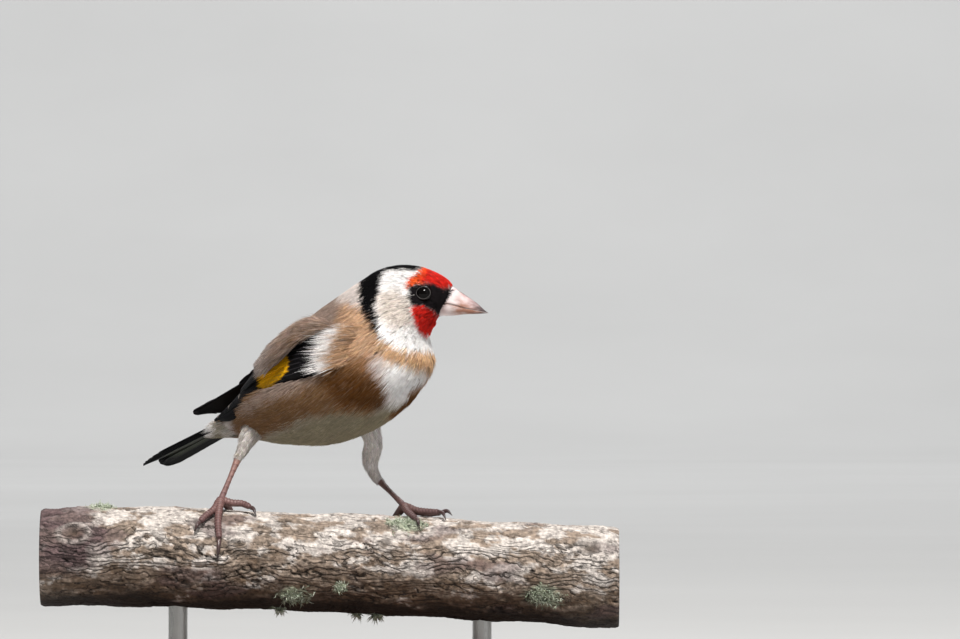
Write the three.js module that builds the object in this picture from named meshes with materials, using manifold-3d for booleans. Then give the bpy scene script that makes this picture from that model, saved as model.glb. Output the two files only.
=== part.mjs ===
// European goldfinch, life size, standing astride a cut length of branch on a plain display stand.
// Millimetres, +Z up. The origin is the middle of the stand's underside. X runs along the branch,
// towards the side that the bird faces, and -Y is the side that its breast is turned to.
import * as THREE from 'three';
import { mergeVertices } from 'three/addons/utils/BufferGeometryUtils.js';
import Module from 'manifold-3d';

const wasm = await Module();
wasm.setup();

// Gap that touching pieces keep
const GAP = 0.3;

// Display stand
const BASE = { length: 132, depth: 80, height: 8, corner: 12, edge: 1.2 };
const ROD = { radius: 2.5, x: [-40, 40], intoBase: 4, intoPerch: 4 };

// Perch: its axis runs down from left to right, and its radius swells at two old knots
const PERCH = {
  fromX: -76,
  toX: 76,
  axisZ: [35.9, 36.0, 34.8, 33.8, 32.3, 30.3],
  radius: 13.05,
  knots: [
    { x: -66, angle: 65, rise: 1.0, spread: 7 },
    { x: 68, angle: 50, rise: 0.9, spread: 6 },
    { x: 40, angle: 200, rise: 0.8, spread: 9 },
  ],
  rings: 30,
  sides: 20,
};

// Turn of the bird about +Z: the torso is turned towards -Y, and the head looks along +X
const TURN = { torso: 37, head: 5, torsoX: 10, headX: 22 };
const MIDDLE = { x: 2.6, y: -2 };

// Rings of the body from the feathers round the bill to the root of the tail. Each has its middle
// (x, z), the lean of its up direction from the vertical, back positive, and its three half sizes.
const BODY_RINGS = [
  { x: 31.0, z: 102.9, lean: -26, up: 4.1, down: 3.7, side: 3.3 },
  { x: 29.7, z: 103.3, lean: -14, up: 5.7, down: 4.9, side: 5.0 },
  { x: 27.7, z: 103.8, lean: 2, up: 7.2, down: 6.4, side: 6.7 },
  { x: 25.3, z: 103.9, lean: 12, up: 8.6, down: 8.0, side: 7.9 },
  { x: 22.5, z: 103.2, lean: 22, up: 10.2, down: 9.8, side: 8.9 },
  { x: 19.9, z: 101.8, lean: 32, up: 11.6, down: 11.2, side: 9.6 },
  { x: 17.5, z: 99.4, lean: 43, up: 13.0, down: 13.0, side: 10.7 },
  { x: 14.7, z: 96.2, lean: 53, up: 14.2, down: 15.0, side: 12.6 },
  { x: 11.0, z: 92.0, lean: 58, up: 15.9, down: 16.6, side: 14.4 },
  { x: 6.4, z: 87.2, lean: 57, up: 17.6, down: 17.9, side: 15.6 },
  { x: 0.4, z: 82.2, lean: 52, up: 17.9, down: 18.0, side: 16.0 },
  { x: -7.0, z: 78.1, lean: 45, up: 15.4, down: 16.4, side: 14.8 },
  { x: -14.4, z: 75.3, lean: 38, up: 11.6, down: 12.2, side: 12.2 },
  { x: -21.0, z: 73.0, lean: 33, up: 7.4, down: 7.6, side: 8.8 },
  { x: -26.6, z: 70.6, lean: 29, up: 4.2, down: 4.0, side: 6.0 },
  { x: -30.6, z: 68.9, lean: 25, up: 2.2, down: 2.1, side: 4.4 },
];
const CUT = { headToNeck: 5.6, neckToTorso: 7.6 };
const BODY_SIDES = 32;

// Bill
// Its mouth line falls from the gape to the tip, and the upper half bends over the lower at the tip
const BILL = {
  gapeX: 29.2,
  tipX: 41.8,
  mouthZ: [103.0, 102.2, 101.85, 101.5, 100.15],
  upper: [5.0, 4.3, 3.1, 1.6, 0],
  lower: [3.1, 2.7, 1.95, 1.0, 0],
  width: [6.6, 5.6, 4.1, 2.3, 0],
  steps: 10,
  nostril: { place: 0.25, turn: 58, radius: 0.45 },
};

// Eyes
const EYE = { x: 24.7, z: 105.4, radius: 2.1, sunk: 1.3, lidRadius: 1.95, lidTube: 0.32 };

// Wings: the axis runs along the part of the folded wing that the breast feathers leave bare, to its
// tip, in the torso's own directions, forward, left and up. tilt is how far the outer face is turned
// up there, and lower is the edge that the flank covers. sag is what a long vane's flat faces lose
// on the sheet's curve, margin keeps the vanes in from its edges, and clear is past the outer face.
const WING = {
  right: {
    side: -1,
    axis: [[9.5, -15.0, 90.3], [-3, -14.6, 87.6], [-20.5, -9.6, 81.6], [-39.3, -3.4, 72.3]],
    tilt: [18, 26, 40, 55],
    lower: [-2.2, -3.2, -2.9, -2.6, -3.4, -3.2, -0.4],
  },
  left: {
    side: 1,
    axis: [[8.5, 15.0, 90.2], [-4, 14.4, 88.2], [-22.5, 8.6, 83.6], [-47.6, -2.6, 74.0]],
    tilt: [18, 28, 52, 76],
    lower: [-2.2, -3.2, -3.4, -4.4, -5.0, -3.6, -0.4],
  },
  upper: [5.0, 9.6, 10.0, 8.8, 6.2, 3.4, 0.4],
  outer: [1.0, 2.1, 2.3, 1.9, 1.0, 0.6, 0.4],
  inner: [-1.0, -1.9, -2.0, -1.6, -1.0, -0.7, -0.5],
  curve: [13, 60],
  sag: 0.3,
  margin: 0.4,
  clear: 14,
};

// Feathers of a wing in tiers, from the lowest to the highest. Each tier runs from its first feather
// to its last: roots and tips as a share of the wing's length and a place across it from its lower
// edge (0) to its upper edge (1), with the width of a vane and the height of the tier in layers.
const WING_TIERS = [
  { count: 5, root: [[0.26, 0.2], [0.24, 0.45]], tip: [[1.0, 0.5], [0.74, 0.62]], width: 5.2, layer: 0 },
  { count: 3, root: [[0.2, 0.4], [0.16, 0.66]], tip: [[0.68, 0.4], [0.6, 0.72]], width: 6.0, layer: 5.5 },
  { count: 3, root: [[0.15, 0.62], [0.13, 0.82]], tip: [[0.64, 0.62], [0.44, 0.82]], width: 6.4, layer: 9.2 },
  { count: 2, root: [[0.12, 0.1], [0.12, 0.2]], tip: [[0.44, 0.08], [0.36, 0.26]], width: 3.8, layer: 7.4 },
  { count: 4, root: [[0.07, 0.12], [0.07, 0.88]], tip: [[0.3, 0.14], [0.26, 0.86]], width: 5.4, layer: 11.2 },
  { count: 3, root: [[0.03, 0.18], [0.03, 0.82]], tip: [[0.17, 0.2], [0.15, 0.8]], width: 6.6, layer: 12.8 },
];
const LAYER = 0.22;
const VANE = { thick: 0.55, rows: 3, outline: [0.6, 1, 0.95, 0.3] };

// Scapular feathers: a lobe of the mantle that lies over the upper part of each wing, as shares of
// the wing's length and of its breadth
const SCAPULARS = {
  from: 0.03,
  to: 0.6,
  lowEdge: [0.95, 0.85, 0.64, 0.5, 0.42, 0.42, 0.55],
  thick: [0.6, 1.1, 1.3, 1.3, 1.2, 1.0, 0.6],
  overlap: 2.6,
};

// Tail: rectrices from a root in the rump, in the torso's own directions, and the feathers that
// cover their roots above and below
const TAIL = {
  root: [-27, 0, 75.0],
  tip: [-63.6, 0, 60.4],
  pairs: 6,
  rootSpread: [0.5, 1.6],
  tipSpread: [1.3, 4.4],
  width: 4.9,
  fork: [4.2, 2.4, 1.2, 0.5, 0.2, 0.6],
  slot: { half: 4.4, tall: 1.25 },
  coverts: { above: { count: 5, tip: 17, spread: 2.6 }, below: { count: 5, tip: 21, spread: 3.2 } },
};

// Legs: each runs from the belly to the heel and the ball of the foot
const LEGS = {
  right: {
    thigh: [[-16.5, 7.5, 74], [-21.2, 6.5, 68], [-23.2, 5.9, 63.9], [-24.4, 5.5, 61.9]],
    thighRadius: [3.6, 3.1, 2.3, 1.5],
    heel: [-24.5, 5.3, 61.4],
    ball: { x: -28.7, angle: 9, lift: 2.9 },
  },
  left: {
    thigh: [[9.0, 2.5, 73], [11.2, 5.0, 66.5], [10.6, 7.6, 60.4], [12.2, 9.0, 56.6]],
    thighRadius: [3.2, 2.3, 2.4, 1.6],
    heel: [12.9, 9.2, 55.8],
    ball: { x: 19.6, angle: -2, lift: 2.6 },
  },
  tarsusRadius: 0.92,
};

// Toes: points after the ball of the foot as a place along the branch, an angle round it from the
// top towards -Y, and a height of the toe's middle over the bark. The last point is the claw's.
const TOES = {
  right: {
    outer: [[-30.4, 26, 1.7], [-32.6, 37, 1.2], [-33.9, 46, 1.3], [-35.4, 61, 0.7]],
    middle: [[-29.0, 26, 1.9], [-29.2, 46, 1.25], [-28.8, 66, 1.3], [-29.2, 91, 0.7]],
    inner: [[-25.8, 10, 2.4], [-22.9, 9, 2.2], [-20.8, 13, 1.5], [-19.2, 31, 0.7]],
    hind: [[-27.2, -18, 1.6], [-26.0, -40, 1.3], [-25.4, -58, 1.4], [-24.9, -82, 0.7]],
  },
  left: {
    outer: [[22.4, -14, 1.6], [26.2, -15, 1.25], [29.4, -12, 1.5], [32.2, -3, 0.7]],
    middle: [[22.6, 2, 1.6], [26.0, 4, 1.4], [28.8, 6, 1.5], [30.6, 24, 0.7]],
    inner: [[20.6, 11, 1.5], [21.7, 20, 1.25], [22.6, 27, 1.3], [23.7, 41, 0.7]],
    hind: [[17.9, -22, 1.5], [16.2, -42, 1.3], [15.2, -58, 1.4], [14.2, -80, 0.7]],
  },
  radius: [1.15, 0.95, 0.85, 0.78],
  ballRadius: 1.5,
  clawRadius: 0.62,
};

const plumage = (color) => new THREE.MeshStandardMaterial({ color, roughness: 0.85, metalness: 0 });
const MATERIALS = {
  brown: plumage(0xa8835c),
  cheek: plumage(0xe9e1d2),
  head: plumage(0xf0ebe0),
  black: plumage(0x17151a),
  thigh: plumage(0xd8cfc4),
  bill: new THREE.MeshStandardMaterial({ color: 0xe6cfc4, roughness: 0.4, metalness: 0 }),
  skin: new THREE.MeshStandardMaterial({ color: 0x8a5a4c, roughness: 0.6, metalness: 0 }),
  claw: new THREE.MeshStandardMaterial({ color: 0x2c211e, roughness: 0.4, metalness: 0 }),
  eye: new THREE.MeshStandardMaterial({ color: 0x0a0807, roughness: 0.08, metalness: 0 }),
  bark: new THREE.MeshStandardMaterial({ color: 0x8b7d70, roughness: 0.95, metalness: 0 }),
  wood: new THREE.MeshStandardMaterial({ color: 0x5d3d28, roughness: 0.5, metalness: 0 }),
  metal: new THREE.MeshStandardMaterial({ color: 0x9a9a98, roughness: 0.35, metalness: 1 }),
};

const group = new THREE.Group();

const radians = THREE.MathUtils.degToRad;
const clamp = THREE.MathUtils.clamp;
const mix = THREE.MathUtils.lerp;
const UP = new THREE.Vector3(0, 0, 1);

// Smooth curve through evenly spaced numbers, at place t from 0 to 1
function through(values, t) {
  const place = clamp(t, 0, 1) * (values.length - 1);
  const i = Math.min(Math.floor(place), values.length - 2);
  const f = place - i;
  const before = values[Math.max(i - 1, 0)];
  const after = values[Math.min(i + 2, values.length - 1)];
  const slopeA = (values[i + 1] - before) / 2;
  const slopeB = (after - values[i]) / 2;
  const rise = values[i + 1] - values[i];
  return values[i] + f * (slopeA + f * (3 * rise - 2 * slopeA - slopeB + f * (slopeA + slopeB - 2 * rise)));
}

// Closed surface through rings of points, each ring anticlockwise as seen from the far end.
// A ring of one point closes that end, and any other end is closed by strips across it. With alike,
// the faces of a flat ring's two sides are split the same way.
function skin(rings, alike = false) {
  const points = [];
  const faces = [];
  const starts = rings.map((ring) => {
    const start = points.length;
    points.push(...ring);
    return start;
  });
  for (let i = 0; i + 1 < rings.length; i += 1) {
    const [a, b] = [rings[i].length, rings[i + 1].length];
    const sides = Math.max(a, b);
    for (let j = 0; j < sides; j += 1) {
      const next = (j + 1) % sides;
      const p = starts[i] + (a === 1 ? 0 : j);
      const q = starts[i] + (a === 1 ? 0 : next);
      const r = starts[i + 1] + (b === 1 ? 0 : next);
      const s = starts[i + 1] + (b === 1 ? 0 : j);
      if (a === 1) faces.push([p, r, s]);
      else if (b === 1) faces.push([p, q, s]);
      else if (alike && j >= sides / 2) faces.push([p, q, s], [q, r, s]);
      else faces.push([p, q, r], [p, r, s]);
    }
  }
  const cap = (ring, start, turned) => {
    for (let [j, k] = [0, ring.length - 1]; k - j > 1; [j, k] = [j + 1, k - 1]) {
      const strip = [[j, j + 1, k]];
      if (k - j > 2) strip.push([j + 1, k - 1, k]);
      for (const [p, q, r] of strip) faces.push([start + p, start + (turned ? r : q), start + (turned ? q : r)]);
    }
  };
  cap(rings[0], starts[0], true);
  cap(rings.at(-1), starts.at(-1), false);
  const geometry = new THREE.BufferGeometry();
  geometry.setAttribute('position', new THREE.Float32BufferAttribute(points.flatMap((p) => p.toArray()), 3));
  geometry.setIndex(faces.flat());
  return geometry;
}

// Solid of a closed geometry, and back
function solid(geometry) {
  const bare = geometry.clone();
  bare.deleteAttribute('normal');
  bare.deleteAttribute('uv');
  const merged = mergeVertices(bare, 1e-4);
  return new wasm.Manifold(new wasm.Mesh({
    numProp: 3,
    vertProperties: Float32Array.from(merged.attributes.position.array),
    triVerts: Uint32Array.from(merged.index.array),
  }));
}

function geometryOf(body) {
  const mesh = body.getMesh();
  const geometry = new THREE.BufferGeometry();
  geometry.setAttribute('position', new THREE.BufferAttribute(Float32Array.from(mesh.vertProperties), 3));
  geometry.setIndex(new THREE.BufferAttribute(Uint32Array.from(mesh.triVerts), 1));
  return geometry;
}

// Largest closed surface of a solid: a sealed hollow is filled and a loose scrap is dropped
function largest(body) {
  return body.decompose().sort((a, b) => b.volume() - a.volume())[0];
}

function addPart(name, body, material) {
  const mesh = new THREE.Mesh(geometryOf(largest(body)), material);
  mesh.geometry.computeVertexNormals();
  mesh.name = name;
  group.add(mesh);
}

// Round limb through points, with a radius at each and rounded or pointed ends
function limb(points, radii, { sides = 10, steps = 10, point = false } = {}) {
  const curve = new THREE.CatmullRomCurve3(points, false, 'centripetal');
  const frames = curve.computeFrenetFrames(steps, false);
  const rings = [];
  const ringAt = (t, i, radius, ahead) => {
    const middle = curve.getPointAt(t).addScaledVector(frames.tangents[i], ahead);
    return Array.from({ length: sides }, (_, j) => {
      const turn = (2 * Math.PI * j) / sides;
      return middle.clone()
        .addScaledVector(frames.normals[i], radius * Math.cos(turn))
        .addScaledVector(frames.binormals[i], radius * Math.sin(turn));
    });
  };
  const first = radii[0];
  const last = radii.at(-1);
  rings.push([curve.getPointAt(0).addScaledVector(frames.tangents[0], -first * 0.55)]);
  rings.push(ringAt(0, 0, first * 0.72, -first * 0.38));
  for (let i = 0; i <= steps; i += 1) {
    const t = i / steps;
    if (!(point && i === steps)) rings.push(ringAt(t, i, through(radii, t), 0));
  }
  if (point) {
    rings.push([curve.getPointAt(1)]);
  } else {
    rings.push(ringAt(1, steps, last * 0.72, last * 0.38));
    rings.push([curve.getPointAt(1).addScaledVector(frames.tangents[steps], last * 0.55)]);
  }
  return solid(skin(rings));
}

// Turn of the body at x, and the middle plane that the turn gives
const slope = (degrees) => Math.tan(radians(degrees));

function slopeAt(x) {
  const t = clamp((x - TURN.torsoX) / (TURN.headX - TURN.torsoX), 0, 1);
  return mix(slope(TURN.torso), slope(TURN.head), t);
}

function middlePlaneY(x) {
  const change = slope(TURN.head) - slope(TURN.torso);
  const span = TURN.headX - TURN.torsoX;
  const eased = clamp(x - TURN.torsoX, 0, span);
  const past = Math.max(x - TURN.headX, 0);
  const bend = change * ((eased * eased) / (2 * span) + past);
  return MIDDLE.y - slope(TURN.torso) * (x - MIDDLE.x) - bend;
}

const leftAt = (x) => new THREE.Vector3(slopeAt(x), 1, 0).normalize();
const forwardAt = (x) => new THREE.Vector3(1, -slopeAt(x), 0).normalize();

// Point in the torso's own directions, forward, left and up
function torsoPoint([forward, left, z]) {
  return new THREE.Vector3(MIDDLE.x, MIDDLE.y, z)
    .addScaledVector(forwardAt(MIDDLE.x), forward)
    .addScaledVector(leftAt(MIDDLE.x), left);
}

// Ring of the body at a place along BODY_RINGS, moved along its axis and grown all round
function bodyFrame(place) {
  const at = (key) => through(BODY_RINGS.map((ring) => ring[key]), place / (BODY_RINGS.length - 1));
  const x = at('x');
  const lean = radians(at('lean'));
  const forward = forwardAt(x);
  return {
    middle: new THREE.Vector3(x, middlePlaneY(x), at('z')),
    up: forward.clone().multiplyScalar(-Math.sin(lean)).addScaledVector(UP, Math.cos(lean)),
    ahead: forward.clone().multiplyScalar(Math.cos(lean)).addScaledVector(UP, Math.sin(lean)),
    left: leftAt(x),
    sizes: { up: at('up'), down: at('down'), side: at('side') },
  };
}

function bodyPoint(place, angle, grow = 0, ahead = 0) {
  const frame = bodyFrame(place);
  const rise = Math.cos(angle);
  const tall = (rise > 0 ? frame.sizes.up : frame.sizes.down) + grow;
  return frame.middle.clone()
    .addScaledVector(frame.up, tall * rise)
    .addScaledVector(frame.left, (frame.sizes.side + grow) * Math.sin(angle))
    .addScaledVector(frame.ahead, ahead);
}

function bodyRing(place, grow = 0, ahead = 0) {
  return Array.from({ length: BODY_SIDES }, (_, j) => {
    return bodyPoint(place, (2 * Math.PI * j) / BODY_SIDES, grow, ahead);
  });
}

// Stretch of the body between two places, with half a gap taken off at each cut
function bodyStretch(from, to, { rings, trimFrom = 0, trimTo = 0, grow = 0 }) {
  const list = [];
  for (let i = 0; i <= rings; i += 1) {
    const ahead = i === 0 ? -trimFrom : i === rings ? trimTo : 0;
    list.push(bodyRing(mix(from, to, i / rings), grow, ahead));
  }
  return solid(skin(list));
}

const LAST_RING = BODY_RINGS.length - 1;
const torsoHull = (grow) => bodyStretch(CUT.neckToTorso, LAST_RING, { rings: 22, trimFrom: GAP / 2, grow });

// Sheet that a folded wing lies on: a is the distance from the bend of the wing, b goes across,
// up positive, and h is the height over the sheet
function wingSheet({ side, axis, tilt, lower }) {
  const curve = new THREE.CatmullRomCurve3(axis.map(torsoPoint), false, 'centripetal');
  const length = curve.getLength();
  const outwards = leftAt(MIDDLE.x).multiplyScalar(side);
  const place = (a, b, h) => {
    const t = clamp(a / length, 0, 1);
    const tangent = curve.getTangentAt(t);
    const turned = radians(through(tilt, t));
    const normal = outwards.clone().multiplyScalar(Math.cos(turned)).addScaledVector(UP, Math.sin(turned));
    normal.addScaledVector(tangent, -normal.dot(tangent)).normalize();
    const across = new THREE.Vector3().crossVectors(normal, tangent).multiplyScalar(side).normalize();
    const radius = mix(WING.curve[0], WING.curve[1], t * t);
    const turn = b / radius;
    return curve.getPointAt(t)
      .addScaledVector(tangent, a - t * length)
      .addScaledVector(across, (radius + h) * Math.sin(turn))
      .addScaledVector(normal, (radius + h) * Math.cos(turn) - radius);
  };
  return { place, length, side, lower };
}

// Space that a folded wing takes up in the torso, open to the outside and a gap wider all round
function wingPocket(sheet, steps = 14, sides = 8) {
  const rings = [];
  for (let i = 0; i <= steps; i += 1) {
    const t = i / steps;
    const a = t * sheet.length + (i === 0 ? -GAP : 0) + (i === steps ? GAP : 0);
    const [lower, upper] = [through(sheet.lower, t) - GAP, through(WING.upper, t) + GAP];
    const floor = through(WING.inner, t) - GAP - 2 * WING.sag;
    const ring = [];
    for (let j = 0; j < sides; j += 1) ring.push([mix(lower, upper, j / (sides - 1)), WING.clear]);
    for (let j = 0; j < sides; j += 1) ring.push([mix(upper, lower, j / (sides - 1)), floor]);
    if (sheet.side > 0) ring.reverse();
    rings.push(ring.map(([b, h]) => sheet.place(a, b, h)));
  }
  return solid(skin(rings, true));
}

// Feather vane on a sheet: place maps distance along, distance across and height to a point, and
// lift gives the height of its upper face at a distance along. Its two faces are split alike.
function vane(place, side, { root, tip, width, lift, limit = (a, b) => b }) {
  const [along, over] = [tip[0] - root[0], tip[1] - root[1]];
  const length = Math.hypot(along, over);
  const rings = [];
  for (let i = 0; i <= VANE.rows; i += 1) {
    const t = i / VANE.rows;
    const half = (width / 2) * through(VANE.outline, t);
    const corner = (share, drop) => {
      const a = root[0] + along * t - (share * half * over) / length;
      const b = limit(a, root[1] + over * t + (share * half * along) / length);
      return place(a, b, lift(root[0] + along * t) - drop);
    };
    const ring = [corner(-1, 0), corner(1, 0), corner(1, VANE.thick), corner(-1, VANE.thick)];
    if (side > 0) ring.reverse();
    rings.push(ring);
  }
  return solid(skin(rings, true));
}

// Folded wing: a core at the shoulder with its tiers of flight feathers and coverts
function wingFeathers(sheet) {
  const bounds = (a) => {
    const t = clamp(a / sheet.length, 0, 1);
    return [through(sheet.lower, t), through(WING.upper, t)];
  };
  const across = (a, share) => {
    const [low, high] = bounds(a);
    return mix(low, high, share);
  };
  const limit = (a, b) => {
    const [low, high] = bounds(a);
    return clamp(b, low + WING.margin, high - WING.margin);
  };
  let wing = wingCore(sheet);
  for (const tier of WING_TIERS) {
    for (let i = 0; i < tier.count; i += 1) {
      const f = i / (tier.count - 1);
      const spot = ([first, last]) => {
        const a = mix(first[0], last[0], f) * sheet.length;
        return [a, across(a, mix(first[1], last[1], f))];
      };
      const layers = tier.layer + i * 0.9;
      const lift = (a) => {
        const t = clamp(a / sheet.length, 0, 1);
        const [floor, top] = [through(WING.inner, t), through(WING.outer, t)];
        return Math.min(floor + 0.16 + VANE.thick + layers * LAYER * mix(1, 0.75, t), top - 0.02 * (20 - layers));
      };
      const [root, tip] = [spot(tier.root), spot(tier.tip)];
      wing = wing.add(vane(sheet.place, sheet.side, { root, tip, width: tier.width, lift, limit }));
    }
  }
  return wing;
}

// Core of a folded wing under its feathers, from the bend to where the flight feathers are free
function wingCore(sheet, steps = 5, sides = 5) {
  const rings = [];
  for (let i = 0; i <= steps; i += 1) {
    const t = mix(0.0, 0.3, i / steps);
    const [low, high] = [through(sheet.lower, t) + WING.margin, through(WING.upper, t) - WING.margin];
    const [top, floor] = [through(WING.outer, t), through(WING.inner, t)].map((h) => h * (i === 0 ? 0.7 : 0.92));
    const ring = [];
    const height = (j) => (j === 0 || j === sides - 1 ? 0.5 : 1);
    const topAt = (j) => mix(floor, top, 0.78 * height(j) * mix(1, 0.5, i / steps));
    for (let j = 0; j < sides; j += 1) ring.push([mix(low, high, j / (sides - 1)), topAt(j)]);
    for (let j = sides - 1; j >= 0; j -= 1) ring.push([mix(low, high, j / (sides - 1)), floor]);
    if (sheet.side > 0) ring.reverse();
    rings.push(ring.map(([b, h]) => sheet.place(t * sheet.length, b, h)));
  }
  return solid(skin(rings, true));
}

// Lobe of scapular feathers over a wing, clear of it by the gap and sunk into the back beside it
function scapularLobe(sheet, steps = 12) {
  const rings = [];
  for (let i = 0; i <= steps; i += 1) {
    const f = i / steps;
    const t = mix(SCAPULARS.from, SCAPULARS.to, f);
    const [lower, upper] = [through(sheet.lower, t), through(WING.upper, t)];
    const low = mix(lower, upper, through(SCAPULARS.lowEdge, f));
    const floor = through(WING.outer, t) + GAP + WING.sag;
    const thick = through(SCAPULARS.thick, f);
    const seam = upper + GAP + WING.margin;
    const back = seam + 0.2 + SCAPULARS.overlap * Math.cos((Math.PI / 2) * f);
    const sunk = f < 0.75 ? -2.4 : floor;
    const ring = [
      [low, floor + thick * 0.15],
      [mix(low, seam, 0.15), floor + thick * 0.7],
      [mix(low, seam, 0.5), floor + thick],
      [seam, floor + thick * 0.85],
      [back, floor + thick * 0.1 - (back - seam) * 0.25],
      [back, Math.min(sunk, floor - (back - seam) * 0.25)],
      [seam, Math.min(sunk, floor)],
      [seam - 0.05, floor],
      [mix(low, seam, 0.5), floor],
      [mix(low, seam, 0.15), floor],
    ];
    if (sheet.side > 0) ring.reverse();
    rings.push(ring.map(([b, h]) => sheet.place(t * sheet.length, b, h)));
  }
  return solid(skin(rings));
}

// Sheet of the tail: along it from the root, across it to the left, and over it
const tailFrame = (() => {
  const root = torsoPoint(TAIL.root);
  const along = torsoPoint(TAIL.tip).sub(root);
  const length = along.length();
  along.normalize();
  const across = leftAt(MIDDLE.x);
  const over = new THREE.Vector3().crossVectors(across, along).normalize();
  const place = (a, b, h) => root.clone()
    .addScaledVector(along, a)
    .addScaledVector(across, b)
    .addScaledVector(over, h);
  return { place, length };
})();

// Slot in the rump that takes the roots of the tail
function tailSlot() {
  const { half, tall } = TAIL.slot;
  const rings = [-GAP, tailFrame.length * 0.6].map((a) => {
    const wide = half + (a > 0 ? 2.4 : 0) + GAP;
    const corners = [[wide, -tall - GAP], [-wide, -tall - GAP], [-wide, tall + GAP], [wide, tall + GAP]];
    return corners.map(([b, h]) => tailFrame.place(a, b, h));
  });
  return solid(skin(rings));
}

// Rectrices in pairs, the middle pair on top and the outer ones below
function tailFeathers() {
  const { place, length } = tailFrame;
  let tail = null;
  for (let pair = 0; pair < TAIL.pairs; pair += 1) {
    const f = pair / (TAIL.pairs - 1);
    for (const side of [1, -1]) {
      const root = [0, side * mix(...TAIL.rootSpread, f)];
      const tip = [length - TAIL.fork[pair], side * mix(...TAIL.tipSpread, f)];
      const height = TAIL.slot.tall - 0.05 - pair * 0.3 - (side > 0 ? 0.15 : 0);
      const feather = vane(place, -1, { root, tip, width: TAIL.width, lift: () => height });
      tail = tail ? tail.add(feather) : feather;
    }
  }
  return tail;
}

// Feathers of the rump that lie over the tail's roots, above (1) or below (-1)
function tailCoverts(face) {
  const { count, tip, spread } = face > 0 ? TAIL.coverts.above : TAIL.coverts.below;
  const pieces = [];
  for (let i = 0; i < count; i += 1) {
    const f = (i / (count - 1)) * 2 - 1;
    const near = TAIL.slot.tall + GAP + 0.12 + (i % 2) * 0.16;
    const lift = () => (face > 0 ? near + VANE.thick : -near);
    pieces.push(vane(tailFrame.place, -1, {
      root: [4, f * spread * 0.8],
      tip: [tip - Math.abs(f) * 3, f * spread],
      width: 3.6,
      lift,
    }));
  }
  return pieces;
}

// Perch
function perchAxisZ(x) {
  return through(PERCH.axisZ, (x - PERCH.fromX) / (PERCH.toX - PERCH.fromX));
}

function barkRadius(x, degrees) {
  const waves = 0.22 * Math.sin(0.11 * x + 2 * radians(degrees)) + 0.15 * Math.sin(0.27 * x - radians(degrees));
  return PERCH.knots.reduce((sum, knot) => {
    const along = (x - knot.x) / knot.spread;
    const around = Math.sin(radians(degrees - knot.angle) / 2) * 2.2;
    return sum + knot.rise * Math.exp(-along * along - around * around);
  }, PERCH.radius + waves);
}

function onBark(x, degrees, lift) {
  const reach = barkRadius(x, degrees) + lift;
  const turn = radians(degrees);
  return new THREE.Vector3(x, -reach * Math.sin(turn), perchAxisZ(x) + reach * Math.cos(turn));
}

const branchMiddle = (point) => new THREE.Vector3(point.x, 0, perchAxisZ(point.x));

function perchBody() {
  const rings = [];
  for (let i = 0; i <= PERCH.rings; i += 1) {
    const x = mix(PERCH.fromX, PERCH.toX, i / PERCH.rings);
    rings.push(Array.from({ length: PERCH.sides }, (_, j) => onBark(x, (360 * j) / PERCH.sides, 0)));
  }
  return solid(skin(rings));
}

function uprightCylinder(x, radius, fromZ, toZ) {
  const geometry = new THREE.CylinderGeometry(radius, radius, toZ - fromZ, 28);
  geometry.rotateX(Math.PI / 2);
  geometry.translate(x, 0, (fromZ + toZ) / 2);
  return solid(geometry);
}

function baseBody() {
  const halfX = BASE.length / 2 - BASE.edge;
  const halfY = BASE.depth / 2 - BASE.edge;
  const r = BASE.corner;
  const shape = new THREE.Shape();
  shape.moveTo(-halfX + r, -halfY);
  shape.lineTo(halfX - r, -halfY);
  shape.absarc(halfX - r, -halfY + r, r, -Math.PI / 2, 0);
  shape.absarc(halfX - r, halfY - r, r, 0, Math.PI / 2);
  shape.absarc(-halfX + r, halfY - r, r, Math.PI / 2, Math.PI);
  shape.absarc(-halfX + r, -halfY + r, r, Math.PI, 1.5 * Math.PI);
  const geometry = new THREE.ExtrudeGeometry(shape, {
    depth: BASE.height - 2 * BASE.edge,
    bevelThickness: BASE.edge,
    bevelSize: BASE.edge,
    bevelSegments: 2,
    curveSegments: 5,
  });
  geometry.translate(0, 0, BASE.edge);
  return solid(geometry);
}

function addStand() {
  const rodFrom = BASE.height - ROD.intoBase;
  let base = baseBody();
  let perch = perchBody();
  for (const x of ROD.x) {
    const rodTo = onBark(x, 180, 0).z + ROD.intoPerch;
    const socket = uprightCylinder(x, ROD.radius + GAP, rodFrom - GAP, rodTo + GAP);
    base = base.subtract(socket);
    perch = perch.subtract(socket);
    const side = x < 0 ? 'left' : 'right';
    addPart(`stand_rod_${side}`, uprightCylinder(x, ROD.radius, rodFrom, rodTo), MATERIALS.metal);
  }
  addPart('stand_base', base, MATERIALS.wood);
  addPart('perch', perch, MATERIALS.bark);
}

// Bill: upper (1) and lower (-1) halves of one curved cone, parted along the line of the mouth.
// t runs from the gape to the tip, and turn goes over the half from its left edge to its right.
function billPoint(half, t, turn) {
  const tall = through(half > 0 ? BILL.upper : BILL.lower, t);
  const middle = new THREE.Vector3(BILL.gapeX, middlePlaneY(BILL.gapeX), 0);
  return middle.addScaledVector(forwardAt(BILL.tipX), t * (BILL.tipX - BILL.gapeX))
    .addScaledVector(leftAt(BILL.tipX), half * (through(BILL.width, t) / 2) * Math.cos(turn))
    .setZ(through(BILL.mouthZ, t) + half * (tall * Math.sin(turn) + GAP / 2));
}

function billHalf(half) {
  const rings = [];
  for (let i = 0; i < BILL.steps; i += 1) {
    rings.push(Array.from({ length: 9 }, (_, j) => billPoint(half, i / BILL.steps, (Math.PI * j) / 8)));
  }
  rings.push([billPoint(half, 1, 0)]);
  return solid(skin(rings));
}

function nostrils() {
  const { place, turn, radius } = BILL.nostril;
  return [turn, 180 - turn].map((degrees) => {
    const pit = new THREE.SphereGeometry(radius, 7, 5);
    pit.translate(...billPoint(1, place, radians(degrees)).toArray());
    return solid(pit);
  });
}

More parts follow.
